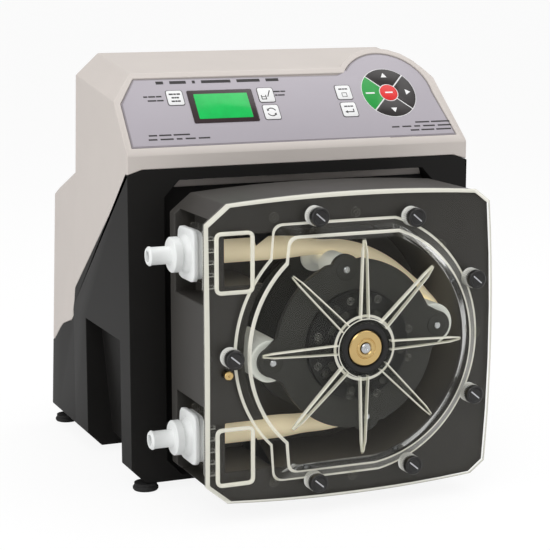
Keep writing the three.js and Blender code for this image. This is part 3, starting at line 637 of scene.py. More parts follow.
def key_icon(name):
    """Strokes on a square key, centred on it: (width, height, u, v) bars."""
    if name == "key_direction":
        ring = []
        for start in (20, 200):
            outer = arc(0, 0, 4.4, start, start + 120, 10)
            inner = arc(0, 0, 3.5, start + 120, start, 10)
            ring.append(outer + inner)
            tip = math.radians(start + 132)
            a = math.radians(start + 116)
            ring.append(
                [
                    (2.6 * math.cos(a), 2.6 * math.sin(a)),
                    (5.3 * math.cos(a), 5.3 * math.sin(a)),
                    (4.0 * math.cos(tip + 0.25), 4.0 * math.sin(tip + 0.25)),
                ]
            )
        return ring
    if name == "key_enter":
        return [
            rectangle(6.4, 0.9, 0.6, -2.6),
            rectangle(0.9, 3.0, 3.6, -1.2),
            [(-4.8, -2.6), (-2.2, -4.2), (-2.2, -1.0)],
            *word_bars(8.5, 1.3, 0, 3.2),
        ]
    if name == "key_menu":
        box = rectangle(4.6, 0.5, 0, -0.6)
        return [
            box,
            rectangle(4.6, 0.5, 0, -4.6),
            rectangle(0.5, 4.0, -2.2, -2.6),
            rectangle(0.5, 4.0, 2.2, -2.6),
            *word_bars(8.5, 1.3, 0, 3.4),
        ]
    if name == "key_calibrate":
        return [
            rectangle(0.8, 4.4, -4.6, -2.4),
            rectangle(4.4, 0.8, -2.6, -4.4),
            rectangle(0.8, 4.4, -0.6, -2.4),
            rectangle(3.6, 0.6, -2.6, -1.8),
            [(0.6, -2.0), (1.4, -2.2), (4.6, 4.4), (3.7, 4.6)],
        ]
    return [*word_bars(10, 1.5, 0, 3.6), *word_bars(6.5, 1.5, 0, 0), *word_bars(8, 1.5, 0, -3.6)]


def word_bars(width, height, u, v, words=(0.36, 0.22, 0.3)):
    """Short dark bars in place of a line of lettering."""
    total = sum(words)
    gap = 0.05 * width
    usable = width - gap * (len(words) - 1)
    at = u - width / 2
    bars = []
    for share in words:
        w = usable * share / total
        bars.append(rectangle(w, height, at + w / 2, v))
        at += w + gap
    return bars


def printed(name, outlines, u, v, height, finish="print_black"):
    """Thin printed shapes lying on the panel at (u, v)."""
    parts = []
    for k, outline in enumerate(outlines):
        moved = [(u + x, v + y) for x, y in outline]
        area = sum(a[0] * b[1] - b[0] * a[1] for a, b in zip(moved, moved[1:] + moved[:1]))
        if area < 0:
            moved.reverse()
        parts.append(panel_plate(f"{name}_{k}", moved, height, height + 0.06, finish=finish))
    return parts


def build_panel():
    overlay = panel_plate("keypad_overlay", membrane_outline(7.4), -1.7, -0.35, 0.25)
    rim = panel_plate("keypad_rim", membrane_outline(6.1), -1.7, -0.75, 0.3, "membrane_edge")
    both = join("keypad_membrane", [overlay, rim])
    seat(both)
    shade(both, 30)
    finish_piece(both, None, "body", "membrane", "panel_membrane")

    frame_plate = panel_plate(
        "display_frame", rounded(rectangle(59, 33.5, *SCREEN), 1.5), -0.9, 0.25, 0.3, "bezel"
    )
    seat(frame_plate)
    finish_piece(frame_plate, None, "body", "bezel", "display_bezel")

    lit = panel_plate("display_window", rounded(rectangle(48.5, 25.4, *SCREEN), 0.8), 0.15, 0.4, 0.1,
        "bezel")
    lit.data.materials.clear()
    lit.data.materials.append(screen_material())
    seat(lit)
    finish_piece(lit, None, "body", "screen", "display_glass")

    for name, (u, v) in SQUARE_KEYS.items():
        under = panel_plate(name + "_rim", rounded(rectangle(15.4, 15.9, u, v), 2.6), -1.2, -0.1, 0.2,
            "print_black")
        cap = panel_plate(name + "_cap", rounded(rectangle(14.2, 14.7, u, v), 2.2), -0.3, 0.12, 0.25,
            "key_white")
        icons = printed(name + "_mark", key_icon(name), u, v, 0.12)
        piece = seat(join(name + "_button", [under, cap, *icons]))
        finish_piece(piece, None, name, "key_white", name)

    legends = []
    lines = [
        (-60, 70.5, 112, 3.0, (5, 11, 2, 20, 16, 9)),
        (-122, 56.5, 16, 1.5, (3, 5, 4)),
        (-120, 52.4, 14, 1.5, (4, 3)),
        (-6.5, 58, 11, 1.4, (4, 3)),
        (-7, 54.2, 9, 1.4, (2, 5)),
        (-116, 17.5, 36, 1.5, (4, 6, 8)),
        (-108, 13.4, 54, 1.5, (6, 9, 4, 7, 8)),
        (130, 20.5, 34, 1.5, (6, 8)),
        (118, 16.4, 58, 1.5, (5, 6, 4, 8, 9)),
        (126, 12.3, 40, 1.5, (4, 6, 7)),
    ]
    for k, (u, v, width, height, words) in enumerate(lines):
        legends += printed(f"legend_{k}", word_bars(width, height, 0, 0, words), u, v, -0.36)
    finish_piece(seat(join("panel_legends", legends)), None, "body", "key_black")
    build_pad()


def quarter(middle, inner, outer, gap):
    """Outline of a quarter ring, centred on an angle, with a straight gap to its neighbours."""
    a0 = math.degrees(gap / outer)
    a1 = math.degrees(gap / inner)
    return arc(*PAD, outer, middle - 45 + a0, middle + 45 - a0, 18) + arc(
        *PAD, inner, middle + 45 - a1, middle - 45 + a1, 8
    )


def build_pad():
    disc = panel_plate("pad_disc", arc(*PAD, PAD_RADIUS, 0, 354, 59), -1.2, -0.25, 0.2, "print_white")
    finish_piece(seat(disc), None, "body", "key_white")
    colours = {"key_right": (0, "key_black"), "key_up": (90, "key_black")}
    colours.update({"key_start": (180, "key_green"), "key_down": (270, "key_black")})
    for name, (deg, finish) in colours.items():
        cap = panel_plate(name + "_cap", quarter(deg, 9.2, PAD_RADIUS - 0.6, 0.62), -0.6, 0.1, 0.2,
            finish)
        parts = [cap]
        u = 18.2 * math.cos(math.radians(deg))
        v = 18.2 * math.sin(math.radians(deg))
        if deg == 180:
            marks = word_bars(8.6, 1.5, 0, 0, (1,))
        else:
            turn = math.radians(deg)
            tip = [(3.0, 0), (-1.8, 2.9), (-1.8, -2.9)]
            marks = [
                [(x * math.cos(turn) - y * math.sin(turn),
                    x * math.sin(turn) + y * math.cos(turn)) for x, y in tip]
            ]
        parts += printed(name + "_mark", marks, PAD[0] + u, PAD[1] + v, 0.1, "print_white")
        finish_piece(seat(join(name + "_button", parts)), None, name, finish, name)
    stop = panel_plate("key_stop_cap", arc(*PAD, 8.3, 0, 350, 35), -0.6, 0.25, 0.3, "key_red")
    mark = printed("key_stop_mark", word_bars(7.4, 1.5, 0, 0, (1,)), *PAD, 0.25, "print_white")
    finish_piece(seat(join("key_stop_button", [stop, *mark])), None, "key_stop", "key_red", "key_stop")


def screen_material():
    """Backlit display: green, with rows of faint darker characters."""
    made = material("screen_glow", bpy.context.scene.pump_finishes.screen, 0.18)
    nodes, link = made.node_tree.nodes, made.node_tree.links.new
    shader = nodes["Principled BSDF"]
    glow = bpy.context.scene.pump_finishes.screen
    shader.inputs["Emission Color"].default_value = (*glow, 1)
    shader.inputs["Emission Strength"].default_value = 0.35
    place = nodes.new("ShaderNodeTexCoord")
    noise = nodes.new("ShaderNodeTexNoise")
    noise.inputs["Scale"].default_value = 90
    ramp = nodes.new("ShaderNodeValToRGB")
    ramp.color_ramp.elements[0].position = 0.35
    ramp.color_ramp.elements[1].position = 0.62
    ramp.color_ramp.elements[0].color = (*[c * 0.86 for c in glow], 1)
    ramp.color_ramp.elements[1].color = (*glow, 1)
    link(place.outputs["Object"], noise.inputs["Vector"])
    link(noise.outputs["Fac"], ramp.inputs["Fac"])
    link(ramp.outputs["Color"], shader.inputs["Base Color"])
    return made


# ---------------------------------------------------------------- clear cover


def bowed(x0, z0, x1, z1, crown, steps=16):
    """Points of a shallow arc between two corners, bulging away from the axis."""
    rise = crown - (abs(z0) + abs(z1)) / 2
    sign = 1 if z0 > 0 else -1
    return [
        (x0 + (x1 - x0) * k / steps, z0 + (z1 - z0) * k / steps + sign * rise * 4 * (k / steps) * (
            1 - k / steps))
        for k in range(steps + 1)
    ]


def flange_outline():
    corners = bowed(-112.6, -120, 106.5, -120.6, 125) + bowed(106.5, 120.6, -112.6, 120, 125)
    where = len(bowed(0, 1, 1, 1, 1))
    return (
        [(-131, 105), (-131, -105)]
        + corners[:where]
        + [(119.5 + 4.5 * 4 * t * (1 - t), 110.6 * (2 * t - 1)) for t in (k / 20 for k in range(21))]
        + corners[where:]
    )


def dome_outline(radius, ear_x, top, bottom):
    """Circle with a square ear over each end of the tube, anticlockwise from the right."""
    up = math.degrees(math.acos(min(1, top / radius))) if top < radius else 0
    down = math.degrees(math.acos(min(1, bottom / radius))) if bottom < radius else 0
    points = arc(0, 0, radius, -90 + down, 90 - up, 72)
    if up:
        points.append((0, top))
    left_top = math.degrees(math.acos(ear_x / radius))
    points += rounded([(0, top), (ear_x, top), (ear_x, radius * math.sin(math.radians(left_top)))], 9,
        6)[7:14]
    points += arc(0, 0, radius, left_top + 1, 360 - left_top - 1, 44)
    points += rounded(
        [(ear_x, -radius * math.sin(math.radians(left_top))), (ear_x, -bottom), (0, -bottom)], 9, 6
    )[7:14]
    return points


def radius_at(outline, angle):
    """Distance from the axis to an outline in one direction."""
    d = Vector((math.cos(angle), math.sin(angle)))
    best = 0.0
    for p, q in zip(outline, outline[1:] + outline[:1]):
        p, e = Vector(p), Vector(q) - Vector(p)
        cross = d.x * e.y - d.y * e.x
        if abs(cross) < 1e-9:
            continue
        t = (p.x * e.y - p.y * e.x) / cross
        s = (p.x * d.y - p.y * d.x) / cross
        if t > 0 and -1e-6 <= s <= 1 + 1e-6:
            best = max(best, t)
    return best


# bands of the cover's skin, counted from the flange's back edge inwards, that are not plain clear: the
# flange's bevel, the foot and brow of the dome and the hub's edges shine; the lit bands get a painted
# highlight in pale material, the edge bands a strong painted edge highlight
LIT_BANDS = {band: 1 for band in (1, 2, 3, 5, 6, 8, 9, 12, 15)}
EDGE_BANDS = {band: 2 for band in (0, 7, 13, 14)}


def build_cover(sizes):
    flange = flange_outline()
    base = dome_outline(105.7, -74, 101, 104)
    front = dome_outline(97.7, -64.6, 92.5, 97)
    angles = {round(math.radians(a * 1.5), 5) for a in range(240)}
    for outline in (flange, base, front):
        angles |= {round(math.atan2(z, x) % (2 * math.pi), 5) for x, z in outline}
    kept = []
    for a in sorted(angles):
        if not kept or a - kept[-1] > 0.004:
            kept.append(a)
    far = {id(o): [radius_at(o, a) for a in kept] for o in (flange, base, front)}

    def ring(outline, inward, y):
        if isinstance(outline, list):
            return [
                ((r - inward) * math.cos(a), y, (r - inward) * math.sin(a)) for r,
                    a in zip(far[id(outline)], kept)
            ]
        return [((outline - inward) * math.cos(a), y, (outline - inward) * math.sin(a)) for a in kept]

    rows = [ring(flange, 0, FLANGE), ring(flange, 0, 2.8), ring(flange, 0.35, 2.1),
        ring(flange, 2.6, 0.3)]
    rows += [ring(flange, 3.4, 0.0), ring(base, -2.2, 0.0), ring(base, -0.8, -0.25), ring(base, 0, -1.2)]
    rows += [ring(front, -1.3, -7.2), ring(front, -0.3, -8.6), ring(front, 1.2, -9.3),
        ring(front, 3.4, -9.6)]
    rows += [ring(HUB_RADIUS, -2.5, -11.2), ring(HUB_RADIUS, -0.4, -11.7), ring(HUB_RADIUS, 0, -12.6)]
    rows += [ring(HUB_RADIUS, 0.3, -13.8), ring(HUB_RADIUS, 1.0, HUB_FRONT), ring(21.0, 0, HUB_FRONT)]
    rows += [ring(20.3, 0, -13.6), ring(20.3, 0, -9.9), ring(15.0, 0, -9.9), ring(15.0, 0, -6.2)]
    rows += [ring(50, 0, -6.0), ring(front, 5.4, -5.2), ring(front, 4.4, -4.2), ring(base, 4.2, FLANGE)]
    rows.append(rows[0])
    work = bmesh.new()
    grid_faces(work, rows)
    for index, face in enumerate(work.faces):
        face.material_index = {**LIT_BANDS, **EDGE_BANDS}.get(index // len(kept), 0)
    shell = object_from("cover_shell", work, smooth=28)
    for finish in ("clear", "clear_highlight_line", "clear_edge"):
        shell.data.materials.append(paint(finish))

    blade = rib_blade()
    round_the_axis(blade, sizes.rib_count, paint("clear_edge"))
    lines = rib_highlight_lines()
    round_the_axis(lines, sizes.rib_count, paint("clear_highlight_line"))
    cover = seat(join("clear_cover", [shell, blade, lines, *cover_beads()]))
    finish_piece(cover, None, "cover", "clear_plastic", "head_cover")

    seal = turned(
        "cover_seal_ring",
        [(15.6, -10), (20.1, -10), (20.1, -13.3), (19.2, -14.1), (16.6, -14.1), (15.6, -13.3)],
        segments=72,
    )
    finish_piece(seat(seal), paint("rubber"), "cover", "seal", "cover_seal")
    bush = turned(
        "shaft_bush",
        [(4.5, -6.2), (14.4, -6.2), (14.4, -13.6), (13.6, -14.4), (8.6, -14.4), (8.2, -13.9),
            (7.6, -13.9), (7.2, -14.4)]
        + [(5.4, -14.4), (4.5, -13.6)],
        segments=72,
    )
    finish_piece(seat(bush), paint("brass"), "cover", "bush", "cover_bush")


def rib_blade():
    """One rib of the cover, from the hub outwards: rounded on top and thinning to its end."""
    work = bmesh.new()
    rows = []
    for r, half, crest in ((23, 3.8, -13.4), (40, 3.3, -13.2), (62, 2.7, -13.0), (80, 2.0, -12.6),
        (85, 1.6, -11.8)):
        rows.append(blade_section(r, half, crest))
    rows.append(blade_section(88, 1.2, -10.0))
    grid_faces(work, rows, cap=True)
    return object_from("cover_ribs", work, smooth=50)


def rib_highlight_lines():
    """Painted highlight as a bright line down each flank of a rib, both drawing together at its outer
    end.
    """
    lines = []
    for side in (-1, 1):
        work = bmesh.new()
        rows = []
        for r, half, crest in ((23.2, 3.8, -13.0), (50, 3.0, -12.8), (78, 2.0, -12.4), (87, 0.9, -10.4)):
            near, far = side * (half - 0.7), side * (half + 0.3)
            rows.append([(r, crest, near), (r, crest + 0.5, far), (r, -8.5, far), (r, -8.5, near)])
        grid_faces(work, rows, cap=True)
        lines.append(object_from(f"rib_line_{side}", work, smooth=40))
    return join("rib_highlight_lines", lines)


def blade_section(r, half, crest):
    foot = -8.6
    top = [
        (r, crest + half * (1 - math.sin(math.radians(a))), half * math.cos(math.radians(a)))
        for a in (180, 150, 120, 90, 60, 30, 0)
    ]
    return [(r, foot, half), (r, foot, -half), *top]


def loop_bead(name, outline, width, low, high):
    """Raised rim along a closed outline."""
    work = bmesh.new()
    rows = []
    for inward, y in ((0, low), (0, high + 0.7), (0.7, high), (width - 0.7, high), (width, high + 0.7),
        (width, low)):
        rows.append([(x, y, z) for x, z in shrink(outline, inward)])
    rows.append(rows[0])
    grid_faces(work, rows)
    obj = object_from(name, work, smooth=50)
    # painted highlight: the rim is given the pale highlight material
    obj.data.materials.append(paint("clear_highlight_line"))
    return obj


def cover_beads():
    beads = []
    for k, sign in enumerate((1, -1)):
        low, high = (49.5, 99) if sign > 0 else (-105, -57)
        window = rounded([(-123.5, low), (-90.6, low), (-90.6, high), (-123.5, high)], 6, 6)
        beads.append(loop_bead(f"window_{k}", window, 3.0, 0.0, -2.6))
    for k, (x, z) in enumerate(COVER_BOSSES):
        beads.append(clear_turned(f"boss_{k}",
            [(1.6, 0.1), (4, 0.1), (4, -0.8), (3.4, -1.2), (1.6, -1.2)], x, z))
    for k in range(8):
        x, z = ((40, 12), (12, 38.5))[k % 2]
        x, z = x * (-1) ** (k // 2), z * (-1) ** (k // 4)
        beads.append(clear_turned(f"dot_{k}", [(1.4, -9), (2.9, -9), (2.9, -11.4), (1.4, -11.4)], x, z))
    return beads


COVER_BOSSES = [(-73.8, 107.9), (-3.7, 108.2), (73.5, 77.2), (107.3, 1.6), (-4.5, -108), (-73.7, -105.9)]


def clear_turned(name, profile, x, z):
    obj = turned(name, profile, (x, z), 20)
    obj.data.materials.append(paint("clear_edge"))
    return obj


# ---------------------------------------------------------------- knobs and small screws


def build_knobs(sizes):
    for number, (x, z) in enumerate(THUMB_SCREWS, 1):
        name = f"thumb_screw_{number}"
        parts = []
        face = [(1.2, -13.2), (5.2, -13.2), (5.9, -14.0), (7.0, -14.0), (7.7, -13.2), (7.7, -9.4),
            (7.2, -9.0)]
        cap = turned(name + "_cap", [(0, -13.2), *face, (7.2, -6.4), (0, -6.4)], segments=40)
        cap.data.materials.append(paint("knob"))
        collar = turned(
            name + "_collar", [(0, -6.6), (7.6, -6.6), (7.6, -6.0), (6.9, -5.6), (6.9, -1.0),
                (8.0, -0.6), (8.0, -0.2), (0, -0.2)], segments=40
        )
        collar.data.materials.append(paint("knurl"))
        ridge = prism(name + "_knurl", [(7.0, -0.32), (7.95, 0), (7.0, 0.32)], -9.2, -1.4)
        round_the_axis(ridge, sizes.knurl_count, paint("knurl"))
        turn = math.radians(-40)
        corners = [
            (x0 * math.cos(turn) - z0 * math.sin(turn), x0 * math.sin(turn) + z0 * math.cos(turn))
            for x0, z0 in rounded(rectangle(9.6, 1.1), 0.4, 3)
        ]
        slot = prism(name + "_slot", corners, -13.5, -13.1)
        slot.data.materials.append(paint("steel"))
        shank = turned(name + "_shank", [(0, -0.4), (2.9, -0.4), (2.9, 18.6), (2.2, 19.8), (0, 19.8)],
            segments=24)
        shank.data.materials.append(paint("steel"))
        parts = [cap, collar, ridge, slot, shank]
        piece = join(name + "_knob", parts)
        piece.data.transform(Matrix.Translation((x, 0, z)))
        seat(piece)
        finish_piece(piece, None, name, "knob", name)
    sensor = turned(
        "sensor_screw", [(0, -1.4), (1.0, -2.9), (3.0, -2.9), (3.6, -2.2), (3.6, -0.3), (2.5, -0.3),
            (2.5, 9.6), (0, 9.6)],
        (-112.5, -14.7), 28,
    )
    finish_piece(seat(sensor), paint("brass"), "cover", "bush", "leak_sensor_screw")


# ---------------------------------------------------------------- rotor


def polar(deg, r):
    return (r * math.cos(math.radians(deg)), r * math.sin(math.radians(deg)))


def rotor_outline(disc=69.5):
    """Disc with four round lobes that run into it through hollow curves."""
    lobes = [(SQUEEZE_DEG, SQUEEZE_PIN, 12.0), (GUIDE_DEG, GUIDE_PIN, 12.5)]
    lobes += [(deg + 180, pin, r) for deg, pin, r in lobes]
    points = []
    for deg, pin, r in lobes:
        spread = 15 if pin > 70 else 13
        turn = 62 if pin > 70 else 48
        cx, cz = polar(deg, pin)
        points += [polar(deg - spread - 6, disc)]
        points += [polar(deg - spread, disc + 0.6)]
        points += arc(cx, cz, r, deg - turn - 12, deg + turn + 12, 14)
        points += [polar(deg + spread, disc + 0.6)]
        points += [polar(deg + spread + 6, disc)]
        nxt = {GUIDE_PIN: SQUEEZE_DEG + 180, SQUEEZE_PIN: GUIDE_DEG}[pin] + (180 if deg > 150 else 0)
        start, end = deg + spread + 9, nxt - 22
        points += [polar(start + (end - start) * k / 12, disc) for k in range(13)]
    return points


def build_rotor():
    outline = rotor_outline()
    front = prism("rotor_front_disc", outline, ROTOR_FRONT, ROTOR_FRONT + PLATE_THICK, edge=0.8)
    front.data.materials.append(paint("rotor"))
    parts = [front]
    for deg, pin in ((SQUEEZE_DEG, SQUEEZE_PIN), (GUIDE_DEG, GUIDE_PIN)):
        for turn in (0, 180):
            centre = polar(deg + turn, pin)
            eye = turned("eye", [(3.2, ROTOR_FRONT + 1), (8.6, ROTOR_FRONT + 1), (8.6, ROTOR_FRONT - 0.4)]
                         + [(8.0, ROTOR_FRONT - 0.7), (3.2, ROTOR_FRONT - 0.7)], centre, 40)
            eye.data.materials.append(paint("rotor"))
            parts.append(eye)
    finish_piece(seat(join("rotor_plate_front", parts)), None, "rotor", "rotor", "rotor_front_plate")
    back = prism("rotor_plate_back", outline, ROTOR_BACK - PLATE_THICK, ROTOR_BACK, edge=0.8)
    finish_piece(seat(back), paint("rotor"), "rotor", "rotor", "rotor_back_plate")

    cap = turned(
        "rotor_cap_ring",
        [(8.4, 3.6), (44.8, 3.6), (44.8, 0.6), (44.0, -0.2), (41.0, -0.6), (38.5, -1.6), (33.0, -2.6),
            (31.5, -4.0)]
        + [(24.0, -4.3), (12.0, -4.3), (8.4, -4.3)],
        segments=96,
    )
    cap.data.materials.append(paint("rotor_dark"))
    bolt = turned("cap_bolts", [(0, -1.2), (0, -3.4), (1.2, -3.4), (2.9, -3.1), (3.3, -2.6), (3.3, 0)],
        (37, 0), 20)
    round_the_axis(bolt, 8, paint("rotor"), math.radians(11))
    slots = prism("cap_slots", rounded(rectangle(5.0, 7.5, 29, 0), 1, 3), -5.0, -3.0, edge=0.3, steps=1)
    round_the_axis(slots, 12, paint("rotor"))
    finish_piece(seat(join("rotor_cap_cover", [cap, bolt, slots])), None, "rotor", "rotor", "rotor_cap")

    low, high = ROTOR_FRONT + PLATE_THICK + 0.3, ROTOR_BACK - PLATE_THICK - 0.3
    for number, turn in ((1, 0), (2, 180)):
        centre = polar(SQUEEZE_DEG + turn, SQUEEZE_PIN)
        profile = [(3, low), (6, low), (6.6, low + 0.5), (14.2, low + 0.5), (15, low), (16.6, low),
            (17.15, low + 0.6)]
        profile += [(17.15, high - 0.6), (16.6, high), (3, high)]
        roller = turned(f"squeeze_roller_{number}_white", profile, centre, 72)
        name = f"squeeze_roller_{number}"
        finish_piece(seat(roller), paint("roller"), name, "roller", name)
        centre = polar(GUIDE_DEG + turn, GUIDE_PIN)
        a, b = TUBE_Y - 13.5, TUBE_Y + 13.5
        profile = [(3, low), (11.0, low), (11.5, low + 0.5), (11.5, a - 3.6), (11.0, a - 3),
            (6.4, a - 1), (4.7, a + 1.5)]
        profile += [(4.7, b - 1.5), (6.4, b + 1), (11.0, b + 3), (11.5, b + 3.6), (11.5, high - 0.5),
            (11.0, high), (3, high)]
        roller = turned(f"guide_roller_{number}_white", profile, centre, 56)
        name = f"guide_roller_{number}"
        finish_piece(seat(roller), paint("roller"), name, "roller", name)
        for kind, deg, pin in (("squeeze", SQUEEZE_DEG, SQUEEZE_PIN), ("guide", GUIDE_DEG, GUIDE_PIN)):
            ends = [(0, 3), (2.5, 3), (2.5, ROTOR_BACK + 1), (0, ROTOR_BACK + 1)]
            head = [(0, 3.3), (2.9, 3.3), (2.9, 2.6), (2.2, 2.0), (0, 2.0)]
            pin_piece = turned("pin_body", ends, polar(deg + turn, pin), 24)
            cap_piece = turned("pin_head", head, polar(deg + turn, pin), 24)
            for p in (pin_piece, cap_piece):
                p.data.materials.append(paint("steel"))
            name = f"{kind}_pin_{number}"
            finish_piece(seat(join(name + "_steel", [pin_piece, cap_piece])), None, "rotor", "steel",
                name)

    shaft = turned(
        "steel_shaft",
        [(0, -13.4), (1.6, -15.0), (3.4, -15.0), (4.1, -14.4), (4.1, -5), (7.9, -5), (7.9, 165),
            (0, 165)],
        segments=48,
    )
    finish_piece(seat(shaft), paint("steel"), "rotor", "steel", "drive_shaft")
    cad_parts["rotor_hub"].data.materials[0] = paint("rotor_dark")


# ---------------------------------------------------------------- tube and fittings


TUBE_ENDS = [(-119.7, TUBE_Z, 9.5), (-72, TUBE_Z, 9.5), (-48, TUBE_Z, 9.5), (-29, 74.6, 8)]
TUBE_UPPER = [(GUIDE_DEG, 73.9, 6), (84, 70.8, 7.6), (68, 68.6, 9.2), (52, 69.6, 9.5), (39, 73, 8.8)]
TUBE_LOWER = [(-39, 73, 8.8), (-52, 69.6, 9.5), (-66, 70, 8.6), (GUIDE_DEG - 180, 73.9, 6),
    (-95, 74.6, 7.8)]
TUBE_NIP = [(16, 83.1, 5.8), (12, 86.8, 4), (9, 89.7, 3.2), (6, 92.2, 2.8), (3, 93.6, 2.6)]


def tube_route():
    """Points (x, z, half thickness) from the upper fitting round to the lower one."""
    route = list(TUBE_ENDS)
    route += [(*polar(deg, r), half) for deg, r, half in TUBE_UPPER]
    route += [(*polar(SQUEEZE_DEG + deg, r), half) for deg, r, half in TUBE_NIP]
    route.append((*polar(SQUEEZE_DEG, 93.9), 2.6))
    route += [(*polar(SQUEEZE_DEG - deg, r), half) for deg, r, half in reversed(TUBE_NIP)]
    route += [(*polar(deg, r), half) for deg, r, half in TUBE_LOWER]
    route += [(x, -z, half) for x, z, half in reversed(TUBE_ENDS)]
    return route


def smooth_route(route, steps):
    """Catmull-Rom curve through the route's points."""
    points = [Vector(p) for p in route]
    points = [points[0] * 2 - points[1], *points, points[-1] * 2 - points[-2]]
    result = []
    for a, b, c, d in zip(points, points[1:], points[2:], points[3:]):
        for k in range(steps):
            t = k / steps
            result.append(
                0.5 * ((2 * b) + (c - a) * t + (2 * a - 5 * b + 4 * c - d) * t**2 + (
                    3 * b - a - 3 * c + d) * t**3)
            )
    return [*result, points[-2]]


def build_tube():
    path = smooth_route(tube_route(), 5)
    sides, wall = 32, 3.2
    skins = [[], []]
    for i, p in enumerate(path):
        before, after = path[max(0, i - 1)], path[min(len(path) - 1, i + 1)]
        run = Vector((after.x - before.x, after.y - before.y)).normalized()
        across = Vector((-run.y, run.x))
        wide = TUBE_RADIUS + (TUBE_RADIUS - p.z) * 0.62
        for skin, (a, b) in zip(skins, ((p.z, wide), (max(p.z - wall, 0.35), wide - wall))):
            ring = []
            for k in range(sides):
                angle = 2 * math.pi * k / sides
                out = across * (a * math.cos(angle))
                ring.append((p.x + out.x, TUBE_Y + b * math.sin(angle), p.y + out.y))
            skin.append(ring)
    rows = [*skins[0], *reversed(skins[1]), skins[0][0]]
    work = bmesh.new()
    grid_faces(work, rows)
    tube = seat(object_from("pump_tube_tan", work, smooth=60))
    finish_piece(tube, paint("tube"), "body", "tube", "pump_tube")


def build_fittings():
    for side, z in (("upper", TUBE_Z), ("lower", -TUBE_Z)):
        barb = [(4.6, -161), (6.6, -161), (7.8, -159.7), (7.8, -158.8), (7.2, -157.4), (7.2, -143.4),
            (7.6, -142.4)]
        barb += [(13.6, -142.0), (14.3, -141.3), (14.3, -135.8), (13.6, -135.1), (12.2, -134.6),
            (15.6, -129.6)]
        barb += [(16.6, -126.6), (16.6, -120.4), (4.6, -120.4)]
        nozzle = turned(side + "_nozzle", barb, (TUBE_Y, z), 64, "X")
        corners = rounded(rectangle(38.6, 42.6, TUBE_Y, z), 9, 3)
        plate = prism(side + "_plate", corners, -129, -124.6, "X", edge=1.2)
        inner = prism(side + "_plate_in", rounded(rectangle(35, 39, TUBE_Y, z), 8, 3), -124.7, -120.4,
            "X", edge=0.4, steps=1)
        piece = join(side + "_hose_fitting", [nozzle, plate, inner])
        finish_piece(seat(piece), paint("fitting"), "body", "white_plastic", side + "_fitting")
        build_collar(side, z)


def build_collar(side, z):
    """Clear clamp behind a fitting: a block with ribs on its outer side."""
    parts = [prism(side + "_block", rounded(rectangle(57, 46, 37.5, z), 3, 4), -119.4, -112.6, "X",
        edge=0.8)]
    parts[0].data.materials.append(paint("clear"))
    for k in range(5):
        v = z - 19 + k * 9.5
        bar = prism(f"{side}_bar_{k}", rectangle(5, 2.6, -125.6, v), 0.2, 13.6, edge=0.6, steps=2)
        bar.data.materials.append(paint("clear_edge"))
        parts.append(bar)
    for k, x in enumerate((-127.4, -122.0)):
        rail = prism(f"{side}_rail_{k}", rectangle(1.8, 46, x, z), 5.4, 15.0, edge=0.5, steps=2)
        rail.data.materials.append(paint("clear_edge"))
        parts.append(rail)
    piece = join(side + "_tube_clamp", parts)
    finish_piece(seat(piece), None, "body", "clear_plastic", side + "_collar")


# ---------------------------------------------------------------- feet, drive and back


def build_feet():
    for node in ("foot_front_left", "foot_front_right", "foot_rear_left", "foot_rear_right"):
        low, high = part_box(node)
        centre = ((low[0] + high[0]) / 2, (low[1] + high[1]) / 2)
        at = ((centre[0] - ORIGIN.x) / MM, (centre[1] - ORIGIN.y) / MM)
        base, top = (low[2] - ORIGIN.z) / MM, (high[2] - ORIGIN.z) / MM
        profile = [(0, base), (8.6, base), (10.2, base + 0.5), (10.95, base + 1.6), (10.95, base + 3),
            (10.4, base + 3.8)]
        profile += [(9.7, base + 4.2), (9.7, top), (0, top)]
        foot = seat(turned(node + "_pad", profile, at, 48, "Z"))
        finish_piece(foot, paint("rubber"), "body", "foot_rubber", node)


def build_inside():
    dressed = {
        "gearbox": "motor",
        "drive_motor": "motor",
        "rear_bearing": "steel",
        "base_plate": "steel",
        "control_board": "board",
        "power_board": "board",
        "connector_plate": "black_paint",
        "power_inlet": "print_black",
        "signal_gland": "print_black",
    }
    for node, finish in dressed.items():
        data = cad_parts[node].data
        for k in range(len(data.materials)):
            data.materials[k] = paint(finish)
    prongs = []
    for k, (x, z) in enumerate(((-64, -79), (-70, -84.5), (-58, -84.5))):
        blade = prism(f"prong_{k}", rounded(rectangle(2.4, 4.4, x, z), 0.6, 3), 352, 365.5, edge=0.4,
            steps=1)
        blade.data.materials.append(paint("steel"))
        prongs.append(blade)
    finish_piece(seat(join("inlet_prongs", prongs)), None, "body", "steel")


def build_back():
    """Screws and air slots on the back of the motor housing; the slots are black patches, painted shade
    for their dark insides.
    """
    parts = []
    lean = math.atan2(4, 221)
    for side in (-1, 1):
        for x, z in ((88, 60), (88, -45), (118, -105)):
            head = turned("back_screw", [(0, 0.4), (4, 0.4), (4, -1.0), (3, -1.9), (1.8, -2.1),
                (1.8, -1.0), (0, -1.0)], (0, 0), 32)
            head.data.transform(Matrix.Scale(-1, 4, (0, 1, 0)))
            head.data.flip_normals()
            head.data.transform(Matrix.Translation((side * x, back_face(z) - 1.4, z)))
            head.data.materials.append(paint("steel"))
            parts.append(head)
    finish_piece(seat(join("back_screws", parts)), None, "body", "steel")
    slots = []
    # painted shade: each air slot is a thin black patch standing for the shade inside the opening
    for k in range(11):
        slot = prism("air_slot", rounded(rectangle(3.2, 62, (k - 5) * 9.5, 0), 1.5, 5), -0.6, 0.12)
        slot.data.transform(Matrix.Rotation(lean, 4, "X"))
        slot.data.transform(Matrix.Translation((0, back_face(22), 22)))
        slot.data.materials.append(paint("slot_shade_black"))
        slots.append(slot)
    finish_piece(seat(join("air_slots", slots)), None, "body", "black_casting")


def back_face(z):
    """Where the motor housing's back is at a height."""
    return 370 - 4 * (z + 131) / 221


# ---------------------------------------------------------------- stage


